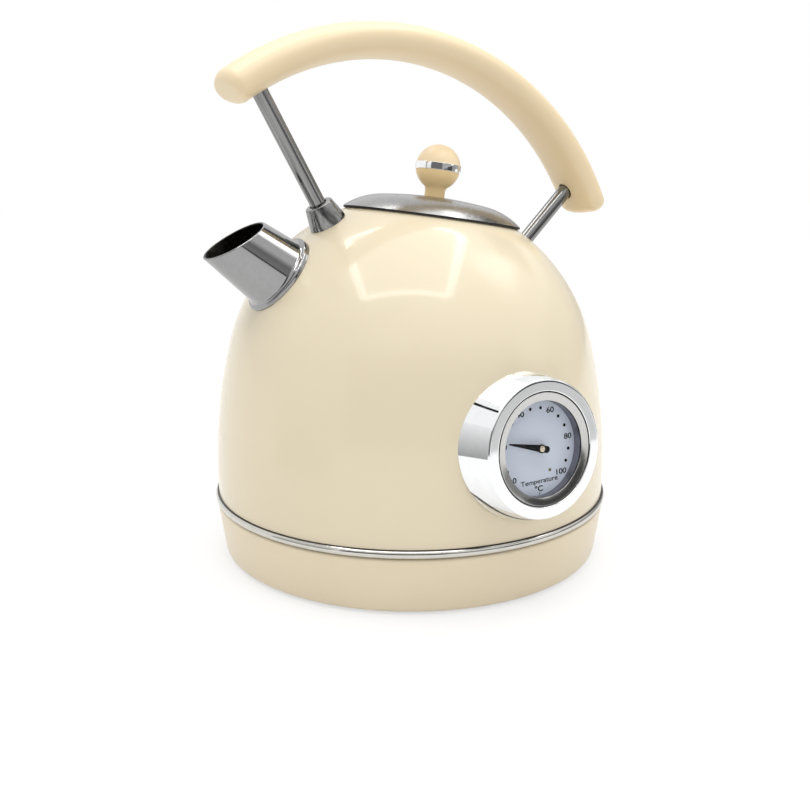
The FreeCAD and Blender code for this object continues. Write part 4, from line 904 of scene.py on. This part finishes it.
def bezel_outline(angle):
    """Flared side down to the dome or just off it, and a flat front with rounded edges."""
    back_r, back_w = bezel_back(angle)
    clock = math.pi / 2 - angle
    back_w += BEZEL_GAP * max(0.0, math.cos(clock - math.radians(BEZEL_GAP_CLOCK))) ** 2
    return rounded([
        (BEZEL_BORE_R, dome_height(ON_GAUGE, BEZEL_BORE_R, angle, -BEZEL_DEPTH, BEZEL_DEPTH)),
        (back_r, back_w),
        (BEZEL_R, BEZEL_DEPTH, BEZEL_ROUND),
        (BEZEL_R - BEZEL_RIM, BEZEL_DEPTH),
        (BEZEL_BORE_R + BEZEL_RIM / 2, BEZEL_DEPTH),
        (BEZEL_BORE_R, BEZEL_DEPTH, BEZEL_BORE_ROUND),
    ])


def gauge_bezel():
    bezel = piece("gauge_bezel_smooth", turned(bezel_outline), ON_GAUGE, "kettle",
                  [CHROME, SHADE_STEEL, FLARED_CHROME], ["gauge_bezel"])
    # the bore's wall round the ring gets the dark steel: painted shade in the gap
    paint(bezel, 1, lambda spot: off_axis(spot) < BEZEL_BORE_R + BEZEL_BORE_ROUND / 8, ON_GAUGE)
    paint(bezel, 2, lambda spot: off_axis(spot) > BEZEL_R and spot.z < BEZEL_DEPTH - BEZEL_ROUND, ON_GAUGE)


def bezel_seat():
    """Dark ring that fills the gap behind the bezel: painted shade, for the shadow line where the bezel
    stands off the wall.
    """
    def outline(angle):
        back_r, back_w = bezel_back(angle)
        edge_r = back_r - SHADE_RING_INSET
        front_w = back_w + SHADE_RING_RISE * BEZEL_GAP
        return [
            (BEZEL_BORE_R, back_w),
            (edge_r, back_w - SHADE_RING_INSET / 2),
            (edge_r, front_w),
            (BEZEL_BORE_R, front_w),
        ]
    piece("bezel_seat", turned(outline), ON_GAUGE, "kettle", [RUBBER_AND_SHADE], [])


def gauge_ring():
    inner = RING_R - RING_W
    edge = FINE_EDGE_SHARE * (RING_FRONT_W - GLASS_FRONT_W)
    outline = rounded([
        (inner, GLASS_FRONT_W),
        (RING_R, GLASS_FRONT_W),
        (RING_R, RING_FRONT_W, edge),
        (inner, RING_FRONT_W - RING_DISH, edge),
    ])
    piece("gauge_ring_smooth", lathe(outline), ON_GAUGE, "kettle", [RING_STEEL], ["gauge_ring"])


def ring_gap():
    """Dark floor of the narrow gap between the bezel and the ring: painted shade in the gap."""
    inner = RING_R - GAP_OVERLAP
    outer = BEZEL_BORE_R + GAP_OVERLAP
    low = GLASS_FRONT_W - GAP_OVERLAP
    outline = [(inner, low), (outer, low), (outer, GLASS_FRONT_W), (inner, GLASS_FRONT_W)]
    piece("ring_gap", lathe(outline), ON_GAUGE, "kettle", [RUBBER_AND_SHADE], [])


def gauge_spacer():
    inner = DIAL_R - SPACER_W
    outline = [(inner, DIAL_FRONT_W), (DIAL_R, DIAL_FRONT_W), (DIAL_R, GLASS_BACK_W), (inner, GLASS_BACK_W)]
    # the spacer's colour is painted shade on its inner wall
    piece("gauge_spacer_smooth", lathe(outline), ON_GAUGE, "kettle", [SPACER_SHADE],
          ["gauge_spacer"])


def gauge_glass():
    edge = FINE_EDGE_SHARE * (GLASS_FRONT_W - GLASS_BACK_W)
    outline = rounded([
        (0, GLASS_BACK_W),
        (DIAL_R, GLASS_BACK_W, edge),
        (DIAL_R, GLASS_FRONT_W, edge),
        (0, GLASS_FRONT_W),
    ])
    piece("gauge_glass_smooth", lathe(outline), ON_GAUGE, "kettle", [GLASS], ["gauge_glass"])


def gauge_dial():
    edge = DIAL_EDGE_SHARE * (DIAL_FRONT_W - DIAL_BACK_W)
    outline = rounded([
        (SHAFT_R + edge, DIAL_BACK_W),
        (DIAL_R, DIAL_BACK_W),
        (DIAL_R, DIAL_FRONT_W, edge),
        (SHAFT_R + edge, DIAL_FRONT_W),
    ])
    piece("gauge_dial_smooth", lathe(outline), ON_GAUGE, "kettle", [DIAL_WHITE], ["gauge_dial"])


def on_dial(across, up):
    return Matrix.Translation((across, up, DIAL_FRONT_W))


def round_dial(radius, clock):
    """Spot on the dial's face by its angle clockwise from the top."""
    turn = math.radians(clock)
    across = radius * math.sin(turn)
    return on_dial(min(across, LEFT_SPREAD * across), radius * math.cos(turn))


def lettering(words, size, weight):
    """Raised flat letters, centred on the origin."""
    text = bpy.data.curves.new("lettering", "FONT")
    text.body = words
    text.size = size
    text.align_x = "CENTER"
    text.align_y = "CENTER"
    text.extrude = MARK_T
    text.offset = weight
    holder = bpy.data.objects.new("lettering", text)
    bpy.context.scene.collection.objects.link(holder)
    graph = bpy.context.evaluated_depsgraph_get()
    data = bpy.data.meshes.new_from_object(holder.evaluated_get(graph))
    mesh = bmesh.new()
    mesh.from_mesh(data)
    mesh.transform(Matrix.Diagonal((TEXT_STRETCH, 1, 1, 1)))
    bpy.data.objects.remove(holder)
    bpy.data.curves.remove(text)
    bpy.data.meshes.remove(data)
    return mesh


def dot(radius):
    return lathe([(0, 0), (radius, 0), (radius, MARK_T), (0, MARK_T)], DOT_STEPS)


def clock_of(reading):
    return DIAL_START + DIAL_SWEEP * reading / DIAL_TOP


def dial_mark(name, mesh, place, material):
    piece(name, mesh, ON_GAUGE @ place, "kettle", [material], [])


def dial_marks():
    """Numbers with dots between them, the word, the unit, a tick at the foot and a boiling marker."""
    for reading in range(0, DIAL_TOP + 1, NUMBER_STEP):
        number = lettering(str(reading), NUMBER_TEXT, NUMBER_WEIGHT)
        dial_mark("dial_number_%d" % reading, number, round_dial(MARK_R, clock_of(reading)), INK)
    for first in range(0, DIAL_TOP, NUMBER_STEP):
        for step in range(1, DOTS_BETWEEN + 1):
            reading = first + NUMBER_STEP * step / (DOTS_BETWEEN + 1)
            spot = round_dial(MARK_R, clock_of(reading))
            dial_mark("dial_dot_%d_%d" % (first, step), dot(DOT_R), spot, INK)
    dial_mark("dial_word", lettering("Temperature", WORD_TEXT, WORD_WEIGHT), on_dial(*WORD_AT), INK)
    dial_mark("dial_unit", lettering("°C", NUMBER_TEXT, UNIT_WEIGHT), on_dial(*UNIT_AT), INK)
    dial_mark("dial_tick", dot(DOT_R / 2), round_dial(TICK_R, 180), INK)
    dial_mark("dial_boil_marker", dot(BOIL_R), on_dial(*BOIL_AT), OLIVE)


def pointer_turn():
    return ON_GAUGE @ Matrix.Rotation(-math.radians(clock_of(POINTER_READS)), 4, "Z")


def gauge_pointer():
    """Tapered blade with a round hub and tail, one flat plate."""
    half = POINTER_W / 2
    tip = POINTER_TIP_W / 2
    bulge = math.acos(half / POINTER_HUB_R)
    outline = [Vector((half, -POINTER_TAIL))]
    outline += arc((0, 0), POINTER_HUB_R, -bulge, bulge, HUB_STEPS)
    outline += [Vector((tip, POINTER_L)), Vector((-tip, POINTER_L))]
    outline += arc((0, 0), POINTER_HUB_R, math.pi - bulge, math.pi + bulge, HUB_STEPS)
    outline += arc((0, -POINTER_TAIL), half, math.pi, math.tau, TAIL_STEPS)[:-1]
    mesh = bmesh.new()
    face = mesh.faces.new([mesh.verts.new((x, y, POINTER_LOW_W)) for x, y in outline])
    lifted = bmesh.ops.extrude_face_region(mesh, geom=[face])
    corners = [item for item in lifted["geom"] if isinstance(item, bmesh.types.BMVert)]
    bmesh.ops.translate(mesh, verts=corners, vec=(0, 0, POINTER_TOP_W - POINTER_LOW_W))
    bmesh.ops.recalc_face_normals(mesh, faces=mesh.faces)
    piece("gauge_pointer_smooth", mesh, pointer_turn(), "pointer", [INK], ["gauge_pointer"])


def pointer_shaft():
    edge = EDGE_SHARE * (SHAFT_TOP_W - POINTER_TOP_W)
    outline = rounded([
        (0, SHAFT_LOW_W),
        (SHAFT_R, SHAFT_LOW_W),
        (SHAFT_R, POINTER_TOP_W),
        (SHAFT_HEAD_R, POINTER_TOP_W),
        (SHAFT_HEAD_R, SHAFT_TOP_W, edge),
        (0, SHAFT_TOP_W),
    ])
    piece("pointer_shaft_smooth", lathe(outline, SHAFT_STEPS), ON_GAUGE, "pointer", [BRASS],
          ["pointer_shaft"])


# Studio, in metres

CAMERA_AT = Vector((-0.2372, -0.4058, 0.1868))
CAMERA_YAW = -30.0
CAMERA_DIP = 14.03
LENS = 42.705
SENSOR = 36.0

WORLD_LEVEL = 0.68      # light from all round
TENT_W = 0.79           # lamp frame above the table, square to the camera
TENT_D = 0.87
TENT_SHIFT = -0.045     # to the camera's left
TENT_NEAR = 0.025       # and towards the camera
TENT_H = 1.0
SIDE_STRIP_W = 0.08     # strips along the frame's left and right
END_STRIP_W = 0.065     # and along its near and far ends
STRIP_DROP = 0.01       # below the panel
PANEL_GLOW = 1.25       # brightness of the lamps' faces, where 1 is white
FILL_GLOW = 2.1         # more light from above that metal doesn't show
STRIP_GLOW = 6.4
SIDE_LIGHT = 1.6        # soft box, as it lights the object
SIDE_GLOW = 3.4         # and as metal shows it
SIDE_LAMP = (-16.0, 51.0, 1.3, 0.62)  # direction round and up, how far and how wide
SOFT_SLOPE = 1.6        # how soon its glow is full from the edges inwards
FLOOR_SIDE = 8.0
FLOOR_COLOUR = 0.80     # as it lights the object
FLOOR_SEEN = 0.35       # as it is seen, with a glow that brings it to white
NEAR_GLOW = 0.62
FAR_GLOW = 0.77
GLOW_REACH = 1.6        # where the lamps over the table no longer light the floor
CARD_STEPS = 24
# Cards that metal shows: from and to round, from and to up, how far, brightness below and above
CARDS = {
    "grey_card": (-62.0, -48.0, -8.4, -2.6, 0.80, 0.66, 0.62),
    "dusk_card": (-72.0, -46.0, -2.6, 6.0, 0.80, 0.05, 0.08),
    "left_card": (-46.0, -25.0, -8.9, 6.0, 0.80, 0.34, 0.30),
    "side_card": (-100.0, -52.0, 0.0, 18.0, 2.5, 0.46, 0.34),
    "fade_card": (-100.0, -48.0, 18.0, 29.0, 2.5, 0.36, 1.00),
    "horizon_card": (-110.0, -55.0, -2.0, 2.0, 2.4, 0.15, 0.15),
    "right_card": (-28.0, 35.0, -5.0, 22.0, 2.5, 0.35, 0.60),
    "black_card": (4.0, 29.0, 30.0, 46.0, 2.5, 0.02, 0.02),
    "far_card": (35.0, 80.0, -4.0, 14.0, 2.5, 0.60, 0.60),
    "back_card": (168.0, 202.0, -17.0, 23.0, 0.42, 0.36, 0.90),
    "bar_card": (140.0, 175.0, 50.4, 53.2, 2.5, 0.02, 0.02),
    "camera_card": (-158.0, -100.0, -3.0, 26.0, 2.4, 0.15, 0.15),
}


def ray_mask(tree):
    """1 for what the camera sees directly or in metal and glass."""
    path = tree.nodes.new("ShaderNodeLightPath")
    total = path.outputs["Is Camera Ray"]
    for name in ("Is Glossy Ray", "Is Transmission Ray"):
        add = tree.nodes.new("ShaderNodeMath")
        add.operation = "MAXIMUM"
        tree.links.new(total, add.inputs[0])
        tree.links.new(path.outputs[name], add.inputs[1])
        total = add.outputs["Value"]
    return total


def between(tree, value, low, high):
    """Blend from one number to another by a 0 to 1 value."""
    level = tree.nodes.new("ShaderNodeMapRange")
    tree.links.new(value, level.inputs["Value"])
    for end, number in (("To Min", low), ("To Max", high)):
        if isinstance(number, bpy.types.NodeSocket):
            tree.links.new(number, level.inputs[end])
        else:
            level.inputs[end].default_value = number
    return level.outputs["Result"]


def white_world():
    """White as it is seen, and a little less as it lights the object."""
    world = bpy.data.worlds.new("studio")
    bpy.context.scene.world = world
    world.use_nodes = True
    tree = world.node_tree
    background = tree.nodes["Background"]
    background.inputs["Color"].default_value = (1, 1, 1, 1)
    tree.links.new(between(tree, ray_mask(tree), WORLD_LEVEL, 1.0), background.inputs["Strength"])


def floor_material():
    """Pale floor whose glow makes up for the lamps' fall-off, so that it is seen as white all over."""
    material, tree, shader = new_material("studio_floor", Roughness=0.9, Specular_IOR_Level=0.0,
                                          Emission_Color=(1, 1, 1, 1))
    seen = ray_mask(tree)
    tree.links.new(between(tree, seen, FLOOR_COLOUR, FLOOR_SEEN), shader.inputs["Base Color"])
    place = tree.nodes.new("ShaderNodeTexCoord")
    distance = tree.nodes.new("ShaderNodeVectorMath")
    distance.operation = "LENGTH"
    tree.links.new(place.outputs["Object"], distance.inputs[0])
    share = tree.nodes.new("ShaderNodeMapRange")
    share.interpolation_type = "SMOOTHSTEP"
    share.inputs["From Max"].default_value = GLOW_REACH
    tree.links.new(distance.outputs["Value"], share.inputs["Value"])
    glow = between(tree, share.outputs["Result"], NEAR_GLOW, FAR_GLOW)
    tree.links.new(between(tree, seen, 0.0, glow), shader.inputs["Emission Strength"])
    return material


def floor():
    bpy.ops.mesh.primitive_plane_add(size=FLOOR_SIDE)
    plane = bpy.context.object
    plane.name = "floor"
    plane.data.materials.append(floor_material())


def towards(round_angle, up_angle, distance):
    """Spot in a direction from the object's middle."""
    turn = math.radians(round_angle)
    rise = math.radians(up_angle)
    level = distance * math.cos(rise)
    middle = (cad_box[0] + cad_box[1]) / 2
    return middle + Vector((level * math.cos(turn), level * math.sin(turn), distance * math.sin(rise)))


def lamp(name, glow, width, length, place):
    """Flat lamp that shines down its own Z axis, with a face of the given brightness."""
    light = bpy.data.lights.new(name, "AREA")
    light.shape = "RECTANGLE"
    light.size = width
    light.size_y = length
    light.energy = glow * math.pi * width * length
    thing = bpy.data.objects.new(name, light)
    thing.matrix_world = place
    bpy.context.scene.collection.objects.link(thing)
    return thing


def lamps():
    """Panel over the table with a brighter strip along each of its sides, and a soft box at the right."""
    square_on = Matrix.Rotation(math.radians(CAMERA_YAW), 4, "Z")
    tent = square_on @ Matrix.Translation((TENT_SHIFT, -TENT_NEAR, TENT_H))
    lamp("panel", PANEL_GLOW, TENT_W, TENT_D, tent)
    fill = lamp("fill", FILL_GLOW, TENT_W, TENT_D, tent)
    fill.visible_glossy = False
    for name, side in (("left", -1), ("right", 1)):
        lamp(name + "_strip", STRIP_GLOW, SIDE_STRIP_W, TENT_D,
             tent @ Matrix.Translation((side * TENT_W / 2, 0, -STRIP_DROP)))
    for name, end in (("near", -1), ("far", 1)):
        lamp(name + "_strip", STRIP_GLOW, TENT_W, END_STRIP_W,
             tent @ Matrix.Translation((0, end * TENT_D / 2, -STRIP_DROP)))
    turn, rise, distance, width = SIDE_LAMP
    spot = towards(turn, rise, distance)
    facing = (spot - towards(turn, rise, 0)).to_track_quat("Z", "Y").to_matrix().to_4x4()
    soft_box = lamp("soft_box", SIDE_LIGHT, width, width, Matrix.Translation(spot) @ facing)
    soft_box.visible_glossy = False


def card_material():
    """Glow as strong as the card's own value at each spot."""
    material, tree, shader = new_material("studio_card", Base_Color=(0, 0, 0, 1), Specular_IOR_Level=0.0,
                                          Emission_Color=(1, 1, 1, 1))
    level = tree.nodes.new("ShaderNodeAttribute")
    level.attribute_name = "glow"
    tree.links.new(level.outputs["Fac"], shader.inputs["Emission Strength"])
    return material


def card(name, material, start, end, low, high, distance, level):
    """Sheet round the table that shows in metal only, with a brightness for each share across and up."""
    mesh = bmesh.new()
    glow = mesh.verts.layers.float.new("glow")
    shares = [i / CARD_STEPS for i in range(CARD_STEPS + 1)]
    columns = []
    for across in shares:
        turn = start + (end - start) * across
        column = [mesh.verts.new(towards(turn, low + (high - low) * up, distance)) for up in shares]
        for spot, up in zip(column, shares):
            spot[glow] = level(across, up)
        columns.append(column)
    for near, far in zip(columns, columns[1:]):
        for j in range(CARD_STEPS):
            mesh.faces.new((near[j], far[j], far[j + 1], near[j + 1]))
    data = bpy.data.meshes.new(name)
    mesh.to_mesh(data)
    mesh.free()
    data.materials.append(material)
    sheet = bpy.data.objects.new(name, data)
    bpy.context.scene.collection.objects.link(sheet)
    sheet.visible_camera = False
    sheet.visible_diffuse = False
    sheet.visible_shadow = False


def soft_glow(across, up):
    """Full in the middle and down to the white of the studio at the edges."""
    middle = math.sin(math.pi * across) * math.sin(math.pi * up)
    return 1 + (SIDE_GLOW - 1) * min(1.0, SOFT_SLOPE * middle)


def cards():
    material = card_material()
    for name, (*place, below, above) in CARDS.items():
        card(name, material, *place, lambda across, up: below + (above - below) * up)
    turn, rise, distance, width = SIDE_LAMP
    half_up = math.degrees(math.atan2(width / 2, distance))
    half_round = half_up / math.cos(math.radians(rise))
    card("soft_card", material, turn - half_round, turn + half_round, rise - half_up, rise + half_up,
         distance, soft_glow)


def camera():
    data = bpy.data.cameras.new("camera")
    data.lens = LENS
    data.sensor_width = SENSOR
    thing = bpy.data.objects.new("camera", data)
    thing.location = CAMERA_AT
    thing.rotation_euler = (math.radians(90 - CAMERA_DIP), 0, math.radians(CAMERA_YAW))
    bpy.context.scene.collection.objects.link(thing)
    bpy.context.scene.camera = thing


finish_cad_nodes()
base_shell()
trim_ring()
body_shell()
spout()
handle_grip()
post("front_post", FRONT_LEAN, FRONT_DRAWN)
post("rear_post", REAR_LEAN, REAR_DRAWN)
ferrule("front_ferrule", FRONT_LEAN, FRONT_DRAWN, FERRULE_BASE_R, FERRULE_TOP_R, FERRULE_H)
ferrule("rear_ferrule", REAR_LEAN, REAR_DRAWN, COLLAR_BASE_R, COLLAR_TOP_R, COLLAR_H)
lid_cap()
knob()
gauge_bezel()
bezel_seat()
gauge_ring()
ring_gap()
gauge_spacer()
gauge_glass()
gauge_dial()
dial_marks()
gauge_pointer()
pointer_shaft()
white_world()
floor()
lamps()
cards()
camera()
bpy.context.scene.view_settings.view_transform = "Standard"
